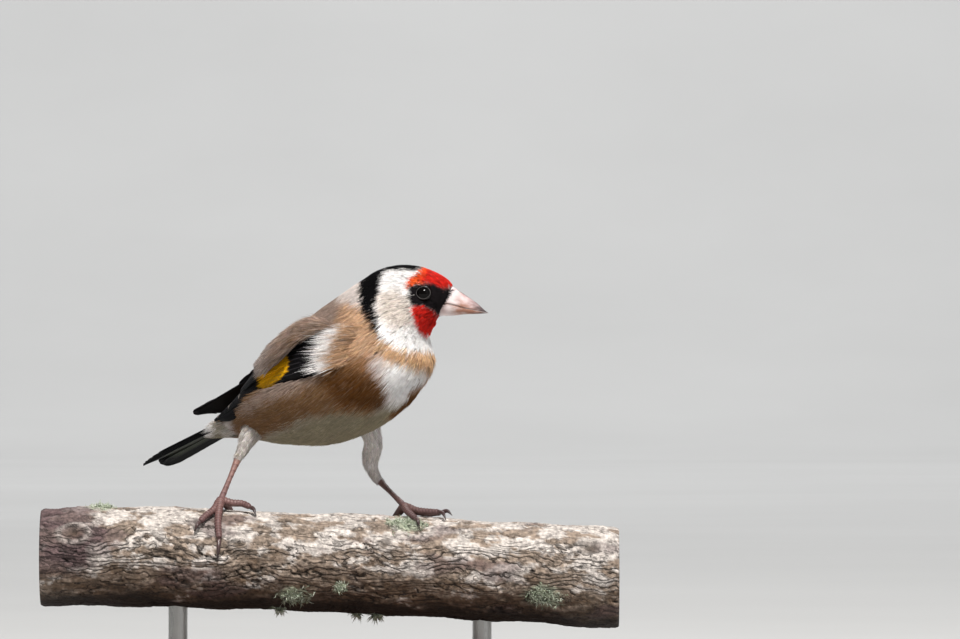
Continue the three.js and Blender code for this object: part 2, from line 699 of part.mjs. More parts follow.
function addHead() {
  let head = bodyStretch(0, CUT.headToNeck, { rings: 12, trimTo: GAP / 2 });
  const faceSide = (side) => {
    const target = new THREE.Vector3(EYE.x, 0, EYE.z);
    const frame = bodyFrame(3.2);
    const rise = target.clone().sub(frame.middle).dot(frame.up);
    const tall = rise > 0 ? frame.sizes.up : frame.sizes.down;
    const reach = frame.sizes.side * Math.sqrt(Math.max(1 - (rise / tall) ** 2, 0));
    const surface = frame.middle.clone().addScaledVector(frame.up, rise).addScaledVector(frame.left, side * reach);
    surface.x = EYE.x;
    surface.z = EYE.z;
    const out = frame.left.clone().multiplyScalar(side).addScaledVector(frame.up, 0.18).normalize();
    return { surface, out };
  };
  for (const [name, side] of [['left', 1], ['right', -1]]) {
    const { surface, out } = faceSide(side);
    const centre = surface.clone().addScaledVector(out, -EYE.sunk);
    const turn = new THREE.Quaternion().setFromUnitVectors(UP, out);
    const lid = new THREE.TorusGeometry(EYE.lidRadius, EYE.lidTube, 5, 16);
    lid.applyQuaternion(turn);
    lid.translate(...surface.clone().addScaledVector(out, 0.1).toArray());
    const ball = (grow) => {
      const sphere = new THREE.SphereGeometry(EYE.radius + grow, 16, 10);
      sphere.applyQuaternion(turn);
      sphere.translate(...centre.toArray());
      return solid(sphere);
    };
    head = head.add(solid(lid)).subtract(ball(GAP));
    addPart(`eye_${name}`, ball(0), MATERIALS.eye);
  }
  const face = bodyStretch(0, 3, { rings: 6, trimFrom: -GAP, grow: GAP });
  addPart('head', head, MATERIALS.head);
  const upper = nostrils().reduce((bill, pit) => bill.subtract(pit), billHalf(1).subtract(face));
  addPart('bill_upper', upper, MATERIALS.bill);
  addPart('bill_lower', billHalf(-1).subtract(face), MATERIALS.bill);
  const neck = bodyStretch(CUT.headToNeck, CUT.neckToTorso, { rings: 5, trimFrom: GAP / 2, trimTo: GAP / 2 });
  addPart('neck', neck, MATERIALS.cheek);
}

function addTorsoAndWings() {
  let torso = torsoHull(0);
  const sheets = ['right', 'left'].map((name) => [name, wingSheet(WING[name])]);
  for (const face of [1, -1]) torso = tailCoverts(face).reduce((whole, covert) => whole.add(covert), torso);
  torso = torso.subtract(tailSlot());
  for (const [name, sheet] of sheets) {
    torso = torso.subtract(wingPocket(sheet));
    addPart(`wing_${name}`, wingFeathers(sheet), MATERIALS.black);
  }
  for (const [, sheet] of sheets) torso = torso.add(scapularLobe(sheet));
  torso = torso.subtract(bodyStretch(CUT.headToNeck, CUT.neckToTorso, { rings: 5, trimTo: -GAP / 2, grow: 5 }));
  addPart('torso', torso, MATERIALS.brown);
  addPart('tail', tailFeathers(), MATERIALS.black);
}

function addLegs() {
  const belly = torsoHull(GAP);
  for (const name of ['right', 'left']) {
    const leg = LEGS[name];
    const vectors = leg.thigh.map((p) => new THREE.Vector3(...p));
    addPart(`thigh_${name}`, limb(vectors, leg.thighRadius, { sides: 12 }).subtract(belly), MATERIALS.thigh);
    const heel = new THREE.Vector3(...leg.heel);
    const ball = onBark(leg.ball.x, leg.ball.angle, leg.ball.lift);
    const r = LEGS.tarsusRadius;
    const thighFoot = limb(vectors, leg.thighRadius.map((value) => value + GAP), { sides: 12 });
    const shin = limb([heel, heel.clone().lerp(ball, 0.5), ball], [r * 1.25, r * 0.9, r], { steps: 8 });
    const toes = Object.entries(TOES[name]).map(([toe, points]) => {
      const path = [ball, ...points.slice(0, 3).map((p) => onBark(...p))];
      return { toe, path, claw: onBark(...points[3]) };
    });
    const footBody = (grow) => {
      const ballJoint = new THREE.SphereGeometry(TOES.ballRadius + grow, 10, 7);
      ballJoint.translate(...ball.toArray());
      const radii = TOES.radius.map((value) => value + grow);
      return toes.reduce((whole, { path }) => whole.add(limb(path, radii, { sides: 7, steps: 7 })), solid(ballJoint));
    };
    addPart(`tarsus_${name}`, shin.subtract(thighFoot).subtract(footBody(GAP)), MATERIALS.skin);
    addPart(`foot_${name}`, footBody(0), MATERIALS.skin);
    for (const { toe, path, claw } of toes) {
      const end = path.at(-1);
      const back = end.clone().sub(path.at(-2)).normalize();
      const start = end.clone().addScaledVector(back, TOES.radius.at(-1) * 0.55 + GAP + TOES.clawRadius * 0.55);
      const bend = start.clone().lerp(claw, 0.5).addScaledVector(end.clone().sub(branchMiddle(end)).normalize(), 0.5);
      const horn = limb([start, bend, claw], [TOES.clawRadius, TOES.clawRadius * 0.7, 0.1], {
        sides: 6,
        steps: 4,
        point: true,
      });
      addPart(`claw_${name}_${toe}`, horn, MATERIALS.claw);
    }
  }
}

addStand();
addTorsoAndWings();
addHead();
addLegs();

export default group;
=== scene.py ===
"""European goldfinch standing astride a cut length of branch, held over a display stand.

The bird faces +X, with its breast turned towards -Y, where the camera is. Sizes are in
millimetres until a mesh is made, and Blender's own objects are in metres.
"""

import math

import bmesh
import bpy
import numpy as np
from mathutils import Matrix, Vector
from mathutils.kdtree import KDTree


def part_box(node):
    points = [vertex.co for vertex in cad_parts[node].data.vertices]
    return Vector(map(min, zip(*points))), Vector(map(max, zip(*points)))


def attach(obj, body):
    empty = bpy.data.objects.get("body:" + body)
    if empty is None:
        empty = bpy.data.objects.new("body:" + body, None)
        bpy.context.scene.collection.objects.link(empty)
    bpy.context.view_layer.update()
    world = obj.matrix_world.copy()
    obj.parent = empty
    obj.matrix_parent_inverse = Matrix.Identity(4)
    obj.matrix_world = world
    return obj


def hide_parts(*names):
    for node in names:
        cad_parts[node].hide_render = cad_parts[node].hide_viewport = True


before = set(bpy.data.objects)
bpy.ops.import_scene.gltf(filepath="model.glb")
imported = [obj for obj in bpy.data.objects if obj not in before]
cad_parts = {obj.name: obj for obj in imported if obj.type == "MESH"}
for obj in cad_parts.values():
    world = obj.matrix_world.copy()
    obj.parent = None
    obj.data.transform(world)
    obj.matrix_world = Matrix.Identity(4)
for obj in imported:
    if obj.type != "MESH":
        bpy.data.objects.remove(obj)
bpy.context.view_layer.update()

MM = 0.001
rng = np.random.default_rng(7)

# The photograph's pixels for each millimetre, the pixel of the place x 0 and z PLACE_Z, and the
# width and the middle of its frame
PIXELS = 3.8
PIXEL_X, PIXEL_Z, PLACE_Z = 330.0, 610.0, 22.0
FRAME_WIDTH, FRAME_X, FRAME_Z = 960, 480, 319.5

# Slopes of the bird's middle line, which bends in the neck between TURN_FROM and TURN_TO, because
# the torso is turned towards -Y and the head looks along +X. The line passes MIDDLE_X, MIDDLE_Y.
TORSO_TURN, HEAD_TURN = math.tan(math.radians(37)), math.tan(math.radians(5))
TURN_FROM, TURN_TO = 10.0, 22.0
MIDDLE_X, MIDDLE_Y = 2.6, -2.0

# Rings of the body from the bill to the root of the tail: middle x and z, lean of the up
# direction in degrees, and the half sizes up, down and sideways, out to the feathers' tips
BODY = np.array([
    (31.0, 102.9, -26, 4.1, 3.7, 3.3),
    (29.7, 103.3, -14, 5.7, 4.9, 5.0),
    (27.7, 103.8, 2, 7.2, 6.4, 6.7),
    (25.3, 103.9, 12, 8.6, 8.0, 7.9),
    (22.5, 103.2, 22, 10.2, 9.8, 8.9),
    (19.9, 101.8, 32, 11.6, 11.2, 9.6),
    (17.5, 99.4, 43, 13.0, 13.0, 10.7),
    (14.7, 96.2, 53, 14.9, 15.6, 12.6),
    (11.0, 92.0, 58, 17.2, 18.0, 14.4),
    (6.4, 87.2, 57, 18.5, 19.2, 15.6),
    (0.4, 82.2, 52, 18.2, 18.5, 16.0),
    (-7.0, 78.1, 45, 15.4, 16.4, 14.8),
    (-14.4, 75.3, 38, 11.6, 12.2, 12.2),
    (-21.0, 73.0, 33, 7.4, 7.6, 8.8),
    (-26.6, 70.6, 29, 4.2, 4.0, 6.0),
    (-30.6, 68.9, 25, 2.2, 2.1, 4.4),
])
LAST_RING = len(BODY) - 1

# Depth of the coat over the skin, at even places from the bill to the tail
COAT_DEPTH = [0.3, 0.45, 0.5, 0.55, 0.7, 0.8, 0.9, 1.0, 1.1, 1.2, 1.2, 1.2, 1.1, 1.0, 0.8, 0.6]

# Length of a tuft, and the distance between tufts, at the same places
TUFT_LENGTH = [0.9, 1.2, 1.5, 1.9, 2.3, 2.8, 3.4, 4.0, 4.6, 5.1, 5.5, 5.6, 5.4, 5.0, 4.4, 3.6]
TUFT_STEP = [0.42, 0.44, 0.46, 0.5, 0.54, 0.6, 0.66, 0.72, 0.78, 0.84, 0.9, 0.92, 0.9, 0.85, 0.75, 0.65]

# The bill's ends along X, half the gap of its mouth, and at even places between the ends the height
# of the mouth's line and the bill's sizes over that, under it and across
BILL = {
    "gape_x": 29.2,
    "tip_x": 41.8,
    "gap": 0.05,
    "mouth_z": [102.6, 102.3, 101.45, 100.8, 100.15],
    "upper": [5.9, 4.7, 3.5, 1.95, 0],
    "lower": [3.1, 2.8, 1.6, 0.85, 0],
    "width": [6.6, 5.4, 3.8, 2.0, 0],
}

# The eyes' place along the body, and along X and Z, their radius, how deep the ball's middle lies,
# and its front's height as a share of a round one's and the bulge of its middle. The lids' ring has
# a radius, a thickness and a height over the face.
EYE = {"ring": 3.2, "x": 24.7, "z": 105.4, "radius": 2.1, "sunk": 1.25, "flatness": 0.8, "bulge": 0.1}
LID = {"radius": 1.7, "tube": 0.12, "lift": 0.12}

# Folded wings, in the torso's own directions: forward, left and up. Each lies on a sheet along an
# axis, with its tilt in degrees and its lower edge at even places.
WINGS = {
    "right": {
        "side": -1,
        "axis": [(9.5, -15.0, 90.3), (-3, -14.6, 87.6), (-20.5, -9.6, 81.6), (-39.3, -3.4, 72.3)],
        "tilt": [18, 26, 40, 55],
        "lower": [-4.0, -5.6, -5.2, -4.8, -5.6, -5.8, -1.2],
    },
    "left": {
        "side": 1,
        "axis": [(8.5, 15.0, 90.2), (-4, 14.4, 88.2), (-22.5, 8.6, 83.6), (-47.6, -2.6, 74.0)],
        "tilt": [18, 28, 50, 62],
        "lower": [-4.0, -5.6, -5.2, -5.2, -5.6, -5.0, -1.6],
    },
}

# Upper edge of both wings' sheets, the heights of their outer and inner faces over the sheet, and
# the radius of the sheet's curve across at the front and at the tip
WING_UPPER = [5.0, 9.6, 10.0, 8.8, 6.2, 3.4, 0.4]
WING_OUTER = [1.0, 2.1, 2.3, 1.9, 1.0, 0.6, 0.4]
WING_INNER = [-1.0, -1.9, -2.0, -1.6, -1.0, -0.7, -0.5]
WING_CURVE = (13.0, 60.0)

# Feathers of the shoulder: their shares along the wing, their low edge, their thickness, how far
# they reach over the back, and their length and width as their streaks count them
SHOULDER = {
    "from": -0.2,
    "to": 0.54,
    "low_edge": [7.4, 7.0, 6.2, 4.2, 0.6, -0.9, -1.0],
    "thick": [0.3, 0.5, 1.0, 1.3, 1.4, 1.25, 0.8],
    "overlap": 2.6,
    "long": 43,
    "wide": 8,
}

TAIL_ROOT, TAIL_TIP = (-27, 0, 75.0), (-63.6, 0, 60.4)

# The perch's ends, the height of its middle line at even places, its radius, and its knots: place
# along it, angle round it, rise and spread
PERCH = {
    "from_x": -76.0,
    "to_x": 76.0,
    "axis_z": [35.9, 36.0, 34.8, 33.8, 32.3, 30.3],
    "radius": 13.05,
    "knots": [(-66, 65, 1.0, 7), (68, 50, 0.9, 6), (40, 200, 0.8, 9)],
}

# Each thigh's middle line and radii, its heel, and the ball of its foot as a place on the bark
LEGS = {
    "right": {
        "thigh": [(-16.5, 7.5, 74), (-21.2, 6.5, 68), (-23.2, 5.9, 63.9), (-24.4, 5.5, 61.9)],
        "thigh_radius": [3.6, 3.1, 2.3, 1.5],
        "heel": (-24.5, 5.3, 61.4),
        "ball": (-28.7, 9, 2.9),
    },
    "left": {
        "thigh": [(9.0, 2.5, 73), (11.2, 5.0, 66.5), (10.6, 7.6, 60.4), (12.2, 9.0, 56.6)],
        "thigh_radius": [3.2, 2.3, 2.4, 1.6],
        "heel": (12.9, 9.2, 55.8),
        "ball": (19.6, -2, 2.6),
    },
}
TARSUS_RADIUS = 0.88

# Toes after the ball of the foot: place along the branch, angle round it from the top towards
# -Y, and height of the toe's middle over the bark. The last is the claw's tip.
TOES = {
    "right": {
        "outer": [(-30.4, 26, 1.7), (-32.6, 37, 1.2), (-33.9, 46, 1.3), (-35.4, 61, 0.7)],
        "middle": [(-29.0, 26, 1.9), (-29.2, 46, 1.25), (-28.8, 66, 1.3), (-29.2, 91, 0.7)],
        "inner": [(-25.8, 10, 2.4), (-22.9, 9, 2.2), (-20.8, 13, 1.5), (-19.2, 31, 0.7)],
        "hind": [(-27.2, -18, 1.6), (-26.0, -40, 1.3), (-25.4, -58, 1.4), (-24.9, -82, 0.7)],
    },
    "left": {
        "outer": [(22.4, -14, 1.6), (26.2, -15, 1.25), (29.4, -12, 1.5), (32.2, -3, 0.7)],
        "middle": [(22.6, 2, 1.6), (26.0, 4, 1.4), (28.8, 6, 1.5), (30.6, 24, 0.7)],
        "inner": [(20.6, 11, 1.5), (21.7, 20, 1.25), (22.6, 27, 1.3), (23.7, 41, 0.7)],
        "hind": [(17.9, -22, 1.5), (16.2, -42, 1.3), (15.2, -58, 1.4), (14.2, -80, 0.7)],
    },
}
TOE_RADIUS = [1.15, 0.95, 0.85, 0.78]
BALL_RADIUS = 1.5
CLAW_RADIUS = 0.62


# Numbers and curves

FULL_TURN = 2 * math.pi


def mix(a, b, t):
    return a + (b - a) * t


def wash(colours, tone, share):
    """Colours with a tone laid over them, by a share for each place."""
    return mix(colours, tone, share[..., None])


def smooth(low, high, value):
    """0 at low and before it, 1 at high and past it, and an even curve between them."""
    t = np.clip((value - low) / (high - low), 0, 1)
    return t * t * (3 - 2 * t)


def unit(vectors):
    return vectors / np.maximum(np.linalg.norm(vectors, axis=-1, keepdims=True), 1e-12)


def square_to(vectors, lines):
    """Directions turned square to the directions of some lines."""
    return unit(vectors - (vectors * lines).sum(-1, keepdims=True) * lines)


def floats(*values):
    """Values as arrays of one shape."""
    return np.broadcast_arrays(*(np.asarray(value, float) for value in values))


def pairs(first, second):
    """Two grids that pair each of the first values with each of the second."""
    return np.meshgrid(first, second, indexing="ij")


def full_turn(count, start=0.0):
    """Angles evenly apart round a full turn."""
    return np.linspace(start, start + FULL_TURN, count + 1)[:-1]


def through(values, t):
    """Smooth curve through evenly spaced values, at places t from 0 to 1."""
    values = np.asarray(values, float)
    place = np.clip(np.asarray(t, float), 0, 1) * (len(values) - 1)
    i = np.minimum(place.astype(int), len(values) - 2)
    f = place - i
    if values.ndim > 1:
        f = f[..., None]
    before, start = values[np.maximum(i - 1, 0)], values[i]
    end, after = values[i + 1], values[np.minimum(i + 2, len(values) - 1)]
    slope_a, slope_b, rise = (end - before) / 2, (after - start) / 2, end - start
    return start + f * (slope_a + f * (3 * rise - 2 * slope_a - slope_b
                                       + f * (slope_a + slope_b - 2 * rise)))


def chord_curve(points, count=400):
    """Curve through unevenly spaced points, as points at even distances along it."""
    p = np.asarray(points, float)
    ghost = np.vstack([2 * p[0] - p[1], p, 2 * p[-1] - p[-2]])
    steps = np.maximum(((np.diff(ghost, axis=0) ** 2).sum(1)) ** 0.25, 1e-6)
    dense = []
    for k in range(len(p) - 1):
        a, b, c, d = ghost[k:k + 4]
        d0, d1, d2 = steps[k:k + 3]
        t1 = ((b - a) / d0 - (c - a) / (d0 + d1) + (c - b) / d1) * d1
        t2 = ((c - b) / d1 - (d - b) / (d1 + d2) + (d - c) / d2) * d1
        s = np.linspace(0, 1, 80, endpoint=k == len(p) - 2)[:, None]
        dense.append(b + t1 * s + (3 * (c - b) - 2 * t1 - t2) * s ** 2
                     + (2 * (b - c) + t1 + t2) * s ** 3)
    dense = np.vstack(dense)
    far = np.concatenate([[0], np.cumsum(np.linalg.norm(np.diff(dense, axis=0), axis=1))])
    even = np.linspace(0, far[-1], count)
    return np.stack([np.interp(even, far, dense[:, k]) for k in range(3)], axis=1), far[-1]


def finder(points):
    """Function that gives the number of the nearest of these points for each of some spots."""
    tree = KDTree(len(points))
    for i, point in enumerate(points):
        tree.insert(point, i)
    tree.balance()
    return lambda spots: np.array([tree.find(spot)[1] for spot in spots], int)


def photo_pixels(points):
    """Pixels of the photograph where points in millimetres are seen."""
    return np.stack([PIXEL_X + PIXELS * points[:, 0], PIXEL_Z - PIXELS * (points[:, 2] - PLACE_Z)], -1)


def lattice_noise(points, seed):
    """Smooth noise from about -1 to 1, one lump for each unit of the points' own measure."""
    pick = np.random.default_rng(seed)
    slopes = unit(pick.normal(0, 1, (256, 3)))
    shuffle = pick.permutation(256)
    cell = np.floor(points).astype(int)
    inner = points - cell
    ease = inner ** 3 * (inner * (inner * 6 - 15) + 10)
    total = np.zeros(points.shape[:-1])
    for corner in np.ndindex(2, 2, 2):
        at = cell + corner
        index = shuffle[(shuffle[(shuffle[at[..., 0] % 256] + at[..., 1]) % 256] + at[..., 2]) % 256]
        weight = np.prod(np.where(corner, ease, 1 - ease), axis=-1)
        total += weight * ((inner - corner) * slopes[index]).sum(-1)
    return total * 1.6


def rough_noise(points, seed, layers=4, fade=0.55):
    """Layers of lattice noise, each finer and weaker than the one before."""
    total, strength = np.zeros(points.shape[:-1]), 1.0
    for layer in range(layers):
        total += strength * lattice_noise(points * 2.03 ** layer + 7.3 * layer, seed + layer)
        strength *= fade
    return total


# The body's own shape

def slope_at(x):
    return mix(TORSO_TURN, HEAD_TURN, np.clip((x - TURN_FROM) / (TURN_TO - TURN_FROM), 0, 1))


def middle_y(x):
    """Y of the bird's middle plane at x."""
    change, span = HEAD_TURN - TORSO_TURN, TURN_TO - TURN_FROM
    eased = np.clip(x - TURN_FROM, 0, span)
    bend = change * (eased ** 2 / (2 * span) + np.maximum(x - TURN_TO, 0))
    return MIDDLE_Y - TORSO_TURN * (x - MIDDLE_X) - bend


def left_at(x):
    x = np.asarray(x, float)
    return unit(np.stack([slope_at(x), np.ones_like(x), np.zeros_like(x)], -1))


def forward_at(x):
    x = np.asarray(x, float)
    return unit(np.stack([np.ones_like(x), -slope_at(x), np.zeros_like(x)], -1))


UP = np.array([0.0, 0.0, 1.0])


def torso_point(place):
    forward, left, z = place
    middle = np.array([MIDDLE_X, MIDDLE_Y, z])
    return middle + forward * forward_at(MIDDLE_X) + left * left_at(MIDDLE_X)


def body_point(place, angle, grow=0.0):
    """Point of the body at a place from 0 at the bill to LAST_RING at the tail, and an angle round
    it from the top towards its left."""
    place, angle = floats(place, angle)
    x, z, lean, up, down, side = np.moveaxis(through(BODY, place / LAST_RING), -1, 0)
    lean = np.radians(lean)[..., None]
    middle = np.stack([x, middle_y(x), z], -1)
    up_dir = -np.sin(lean) * forward_at(x) + np.cos(lean) * UP
    rise = np.cos(angle)
    tall = np.where(rise > 0, up, down) + grow
    wide = side + grow
    return middle + (tall * rise)[..., None] * up_dir + (wide * np.sin(angle))[..., None] * left_at(x)


def body_directions(place, angle):
    """Directions on the body: along it to the tail, round it, and out of it."""
    step = 0.02
    along = body_point(place + step, angle) - body_point(place - step, angle)
    around = body_point(place, angle + step) - body_point(place, angle - step)
    out = unit(np.cross(along, around))
    outwards = body_point(place, angle) - body_point(place, angle, -1.0)
    out = out * np.sign((out * outwards).sum(-1, keepdims=True))
    return unit(along), unit(around), out


def coat_depth(place):
    return through(COAT_DEPTH, place / LAST_RING)


class Sheet:
    """Sheet that a folded wing lies on: a is the distance along it, b the distance across it, up
    positive, and h the height over it."""

    def __init__(self, wing):
        self.side, self.lower, self.tilt = wing["side"], wing["lower"], wing["tilt"]
        self.curve, self.length = chord_curve([torso_point(p) for p in wing["axis"]])

    def place(self, a, b, h):
        a, b, h = floats(a, b, h)
        t = np.clip(a / self.length, 0, 1)
        index = t * (len(self.curve) - 1)
        low = np.minimum(index.astype(int), len(self.curve) - 2)
        share = (index - low)[..., None]
        middle = mix(self.curve[low], self.curve[low + 1], share)
        tangent = unit(np.gradient(self.curve, axis=0))[low]
        turned = np.radians(through(self.tilt, t))[..., None]
        normal = self.side * left_at(MIDDLE_X) * np.cos(turned) + UP * np.sin(turned)
        normal = square_to(normal, tangent)
        across = unit(np.cross(normal, tangent)) * self.side
        radius = mix(WING_CURVE[0], WING_CURVE[1], t * t)
        turn = b / radius
        return (middle + (a - t * self.length)[..., None] * tangent
                + ((radius + h) * np.sin(turn))[..., None] * across
                + ((radius + h) * np.cos(turn) - radius)[..., None] * normal)

    def edges(self, t):
        return through(self.lower, t), through(WING_UPPER, t)

    def spot(self, t, share):
        """Distances along and across the sheet at shares of its length and of its width there."""
        low, high = self.edges(t)
        return t * self.length, mix(low, high, share)

    def shares(self, a, b):
        """Shares of the sheet's length and of its width there at distances along and across it."""
        t = a / self.length
        low, high = self.edges(t)
        return t, (b - low) / (high - low)

    def find(self, points):
        """Shares along and across the sheet of points, their height over it and distance beside it,
        and the sheet's direction outwards there."""
        if not hasattr(self, "nearest"):
            grid = pairs(np.linspace(0, 1, 140), np.linspace(-0.2, 1.8, 64))
            self.t, self.share = (shares.ravel() for shares in grid)
            a, b = self.spot(self.t, self.share)
            self.grid = self.place(a, b, 0.0)
            self.normals = unit(self.place(a, b, 1.0) - self.grid)
            self.nearest = finder(self.grid)
        nearest = self.nearest(points)
        offset = points - self.grid[nearest]
        normal = self.normals[nearest]
        height = (offset * normal).sum(-1)
        beside = np.linalg.norm(offset - height[:, None] * normal, axis=1)
        return self.t[nearest], self.share[nearest], height, beside, normal


# Share of the wing's width that the flank's feathers cover from below, along the wing
FLANK_COVER = [0.0, 0.02, 0.03, 0.04, 0.05, 0.05, 0.04, 0.02, 0.0]


def wing_cover(sheet, points):
    """How far points lie under the open part of a folded wing, from 0 to 1, and the way they have
    to sink to lie under it, and behind its middle also under the back's side of it."""
    t, share, height, beside, normal = sheet.find(points)
    flank = through(FLANK_COVER, t)
    deepest, gap = 8, 0.9
    near = smooth(flank - 0.04, flank + 0.05, share) * smooth(0.02, 0.07, t)
    near = near * (beside < 1.3) * (np.abs(height) < deepest)
    cover = near * (1 - smooth(0.93, 1.02, share))
    reach = mix(0.97, 1.75, smooth(0.42, 0.62, t))
    sunk = near * (1 - smooth(reach - 0.06, reach + 0.06, share))
    depth = sunk * np.clip(height - through(WING_INNER, t) + gap, 0, deepest)
    return cover, -normal * depth[:, None]


sheets = {name: Sheet(wing) for name, wing in WINGS.items()}


def tail_place(a, b, h):
    """Point of the tail's sheet: a along it from the root, b across it to the left, h over it."""
    a, b, h = floats(a, b, h)
    root = torso_point(TAIL_ROOT)
    along = unit(torso_point(TAIL_TIP) - root)
    across = left_at(MIDDLE_X)
    over = unit(np.cross(across, along))
    return root + a[..., None] * along + b[..., None] * across + h[..., None] * over


TAIL_LENGTH = float(np.linalg.norm(torso_point(TAIL_TIP) - torso_point(TAIL_ROOT)))


# The perch's own shape

def perch_share(x):
    return (x - PERCH["from_x"]) / (PERCH["to_x"] - PERCH["from_x"])


def perch_axis_z(x):
    return through(PERCH["axis_z"], perch_share(x))


def bark_radius(x, degrees):
    turn = np.radians(degrees)
    radius = PERCH["radius"] + 0.22 * np.sin(0.11 * x + 2 * turn) + 0.15 * np.sin(0.27 * x - turn)
    for knot_x, knot_angle, rise, spread in PERCH["knots"]:
        along = (x - knot_x) / spread
        around = np.sin(np.radians(degrees - knot_angle) / 2) * 2.2
        radius = radius + rise * np.exp(-along * along - around * around)
    return radius


def on_bark(x, degrees, lift):
    x, degrees = floats(x, degrees)
    reach = bark_radius(x, degrees) + lift
    turn = np.radians(degrees)
    return np.stack([x, -reach * np.sin(turn), perch_axis_z(x) + reach * np.cos(turn)], -1)


# Making meshes

def paint_points(mesh, name, values):
    """Three values for each point of a mesh, such as a colour, that materials read by name."""
    layer = mesh.color_attributes.new(name, "FLOAT_COLOR", "POINT")
    rgba = np.ones((len(mesh.vertices), 4), np.float32)
    rgba[:, :3] = np.asarray(values).reshape(-1, 3)
    layer.data.foreach_set("color", rgba.ravel())


def make_mesh(name, points, faces, material, colours=None, uv=None):
    """Object of points in millimetres and faces of one size, with a colour for each point and a UV
    place for each point in the map OFBake."""
    points = np.asarray(points, float).reshape(-1, 3)
    faces = np.asarray(faces, np.int32)
    mesh = bpy.data.meshes.new(name)
    sides = faces.shape[1]
    mesh.vertices.add(len(points))
    mesh.vertices.foreach_set("co", (points * MM).astype(np.float32).ravel())
    mesh.loops.add(faces.size)
    mesh.loops.foreach_set("vertex_index", faces.ravel())
    mesh.polygons.add(len(faces))
    mesh.polygons.foreach_set("loop_start", np.arange(0, faces.size, sides, dtype=np.int32))
    mesh.polygons.foreach_set("use_smooth", np.full(len(faces), True))
    if uv is not None:
        layer = mesh.uv_layers.new(name="OFBake")
        layer.data.foreach_set("uv", np.asarray(uv, np.float32)[faces.ravel()].ravel())
    if colours is not None:
        paint_points(mesh, "Tint", colours)
    mesh.update(calc_edges=True)
    mesh.validate()
    obj = bpy.data.objects.new(name, mesh)
    bpy.context.scene.collection.objects.link(obj)
    mesh.materials.append(material)
    return obj


def mesh_points(mesh):
    """Points of a mesh in metres."""
    points = np.empty(len(mesh.vertices) * 3, np.float32)
    mesh.vertices.foreach_get("co", points)
    return points.reshape(-1, 3)


def grid_faces(rows, columns, rows_meet=False, columns_meet=False):
    """Four-sided faces between rows of points, anticlockwise as seen from the last row. The last
    row or column can meet the first."""
    i, j = pairs(np.arange(rows if rows_meet else rows - 1),
                 np.arange(columns if columns_meet else columns - 1))
    here, ahead, beside = i * columns, (i + 1) % rows * columns, (j + 1) % columns
    return np.stack([here + j, here + beside, ahead + beside, ahead + j], -1).reshape(-1, 4)


def closed_tube(rings):
    """Points and triangles of a closed tube through rings of points, its ends drawn in to a point."""
    rings = np.asarray(rings, float)
    count, sides = rings.shape[:2]
    points = np.vstack([rings.reshape(-1, 3), rings[0].mean(0), rings[-1].mean(0)])
    quads = grid_faces(count, sides, columns_meet=True)
    triangles = [quads[:, [0, 1, 2]], quads[:, [0, 2, 3]]]
    j = np.arange(sides)
    beside = (j + 1) % sides
    first, last = count * sides, count * sides + 1
    triangles.append(np.stack([np.full(sides, first), beside, j], -1))
    end = (count - 1) * sides
    triangles.append(np.stack([np.full(sides, last), end + j, end + beside], -1))
    return points, np.vstack(triangles)


# Margin round the map OFBake
MAP_MARGIN = 0.02


def in_map(across, along):
    """UV places in the map OFBake from shares of its width and height inside the margin."""
    return MAP_MARGIN + (1 - 2 * MAP_MARGIN) * np.stack([across, along], -1)


class Heap:
    """Points, triangles, colours and UV places of many small shapes that make one mesh. Vanes also
    give each point's place between the shaft and the web's edge as barbs. Where the shapes give
    normals, the mesh is shaded by them, and so as one soft surface."""

    def __init__(self):
        self.points, self.faces, self.colours, self.uv, self.count = [], [], [], [], 0
        self.barbs, self.normals = [], []

    def add(self, points, faces, colours, uv=None, barbs=None, normals=None):
        points = np.asarray(points).reshape(-1, 3)
        self.points.append(points)
        self.faces.append(np.asarray(faces) + self.count)
        self.colours.append(np.broadcast_to(np.asarray(colours, float).reshape(-1, 3), points.shape))
        self.uv.append(np.zeros((len(points), 2)) if uv is None else np.asarray(uv).reshape(-1, 2))
        if barbs is not None:
            self.barbs.append(barbs)
        if normals is not None:
            self.normals.append(normals.reshape(-1, 3))
        self.count += len(points)

    def mesh(self, name, material):
        stacks = [np.vstack(part) for part in (self.points, self.faces, self.colours, self.uv)]
        obj = make_mesh(name, stacks[0], stacks[1], material, stacks[2], stacks[3])
        if self.barbs:
            layer = obj.data.uv_layers.new(name="Barbs")
            barbs = np.vstack(self.barbs).astype(np.float32)
            layer.data.foreach_set("uv", barbs[stacks[1].ravel()].ravel())
        if self.normals:
            obj.data.normals_split_custom_set_from_vertices(np.vstack(self.normals).astype(np.float32))
        return obj


# Colours of the plumage

def paint(red, green, blue):
    """Linear colour of a screen colour given in 0 to 255."""
    c = np.array([red, green, blue]) / 255
    return np.where(c <= 0.04045, c / 12.92, ((c + 0.055) / 1.055) ** 2.4)


WHITE = paint(244, 240, 238)
CREAM = paint(214, 202, 192)
LILAC = paint(204, 193, 190)
TAN = paint(192, 154, 122)
BROWN = paint(136, 98, 66)
TAWNY = paint(88, 55, 23)
FLANK = paint(118, 88, 60)
BUFF = paint(200, 160, 122)
MANTLE = paint(138, 119, 108)
BLACK = paint(7, 6, 8)
CRIMSON = paint(196, 34, 26)
ORANGE = paint(228, 84, 36)
YELLOW = paint(240, 176, 8)
# The belly's pale buff painted darker, as painted shade under the body
BELLY_SHADED_GREY = paint(142, 134, 112)
SLATE = paint(84, 80, 84)
SOOT = paint(27, 23, 25)

# The skin under the coat is painted this much darker than the coat, as painted shade under its tufts
SKIN_SHADE = 0.78

